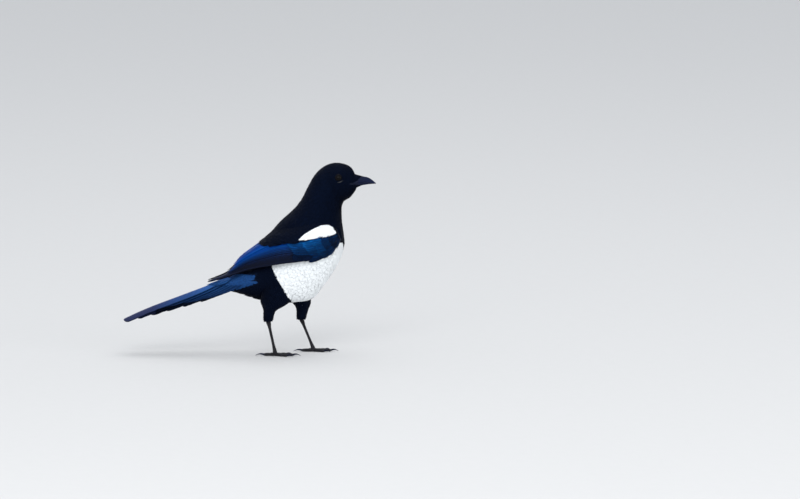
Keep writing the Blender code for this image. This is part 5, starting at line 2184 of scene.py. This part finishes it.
class MakeEyes(bpy.types.Operator):
    """Make the eyes and their lids."""

    bl_idname = "magpie.eyes"
    bl_label = "Eyes"

    def execute(self, context):
        looks = context.scene.magpie_looks
        bare = grained("Bare lid", looks.lid_light, looks.lid, 1800.0, 1.0, 0.6, 0.08, 0.05)
        # the fold under each eye is coloured pale as a painted highlight
        pale = grained("Painted highlight lid", looks.fold_painted_highlight, looks.lid_light, 1800.0, 1.0, 0.5, 0.08)
        for side_name in SIDES:
            dressed(make_lids(side_name), bare)
            dressed(make_lower_lid(side_name), pale)
            ball = make_eyeball(side_name)
            dressed(ball, eye_material(looks), [f"eye_{side_name}"])
        return {"FINISHED"}


class MakeBodyCoat(bpy.types.Operator):
    """Lay the feathers of head, neck, trunk and thighs."""

    bl_idname = "magpie.body_coat"
    bl_label = "Body feathers"

    def execute(self, context):
        looks, coat = context.scene.magpie_looks, context.scene.magpie_coat
        make_body_coats(looks, coat)
        for side_name in SIDES:
            make_thigh_coat(side_name, looks, coat)
        return {"FINISHED"}


class MakeWings(bpy.types.Operator):
    """Lay the feathers of the folded wings."""

    bl_idname = "magpie.wings"
    bl_label = "Wings"

    def execute(self, context):
        looks, coat = context.scene.magpie_looks, context.scene.magpie_coat
        for side_name in SIDES:
            make_wing(side_name, looks, coat)
        return {"FINISHED"}


class MakeScapulars(bpy.types.Operator):
    """Lay the white feathers over the shoulders."""

    bl_idname = "magpie.scapulars"
    bl_label = "White shoulders"

    def execute(self, context):
        looks, coat = context.scene.magpie_looks, context.scene.magpie_coat
        for side_name in SIDES:
            make_scapulars(side_name, looks, coat)
            make_bend_coat(side_name, looks)
        return {"FINISHED"}


class MakeTail(bpy.types.Operator):
    """Lay the tail's feathers and their coverts."""

    bl_idname = "magpie.tail"
    bl_label = "Tail"

    def execute(self, context):
        make_tail(context.scene.magpie_looks, context.scene.magpie_coat)
        return {"FINISHED"}


class MakeBill(bpy.types.Operator):
    """Make the bill and the bristles over its root."""

    bl_idname = "magpie.bill"
    bl_label = "Bill"

    def execute(self, context):
        make_bill(context.scene.magpie_looks)
        make_bristles(context.scene.magpie_looks)
        return {"FINISHED"}


class MakeLegs(bpy.types.Operator):
    """Make the bare legs, feet and claws."""

    bl_idname = "magpie.legs"
    bl_label = "Legs and claws"

    def execute(self, context):
        looks = context.scene.magpie_looks
        for side_name in SIDES:
            make_leg(side_name, looks)
            make_claws(side_name, looks)
        return {"FINISHED"}


class MakeStage(bpy.types.Operator):
    """Make the floor, the lights and the camera."""

    bl_idname = "magpie.stage"
    bl_label = "Stage"

    def execute(self, context):
        make_stage(context.scene.magpie_stage)
        return {"FINISHED"}


OPERATORS = (
    MakeSkin,
    MakeEyes,
    MakeBodyCoat,
    MakeWings,
    MakeScapulars,
    MakeTail,
    MakeBill,
    MakeLegs,
    MakeStage,
)
SETTINGS = {
    "magpie_looks": MagpieLooks,
    "magpie_coat": MagpieCoat,
    "magpie_stage": MagpieStage,
}


class MagpiePanel(bpy.types.Panel):
    """The magpie's settings and the steps that make it."""

    bl_idname = "VIEW3D_PT_magpie"
    bl_label = "Magpie"
    bl_space_type = "VIEW_3D"
    bl_region_type = "UI"
    bl_category = "Magpie"

    def draw(self, context):
        for label, group in SETTINGS.items():
            box = self.layout.box()
            for setting in group.__annotations__:
                box.prop(getattr(context.scene, label), setting)
        for operator in OPERATORS:
            self.layout.operator(operator.bl_idname)


def register():
    for group in SETTINGS.values():
        bpy.utils.register_class(group)
    for operator in OPERATORS:
        bpy.utils.register_class(operator)
    bpy.utils.register_class(MagpiePanel)
    for label, group in SETTINGS.items():
        setattr(bpy.types.Scene, label, PointerProperty(type=group))


def unregister():
    for label in SETTINGS:
        delattr(bpy.types.Scene, label)
    bpy.utils.unregister_class(MagpiePanel)
    for cls in (*OPERATORS, *SETTINGS.values()):
        bpy.utils.unregister_class(cls)


def main():
    register()
    for operator in OPERATORS:
        group, step_name = operator.bl_idname.split(".")
        getattr(getattr(bpy.ops, group), step_name)()


if __name__ == "__main__":
    main()
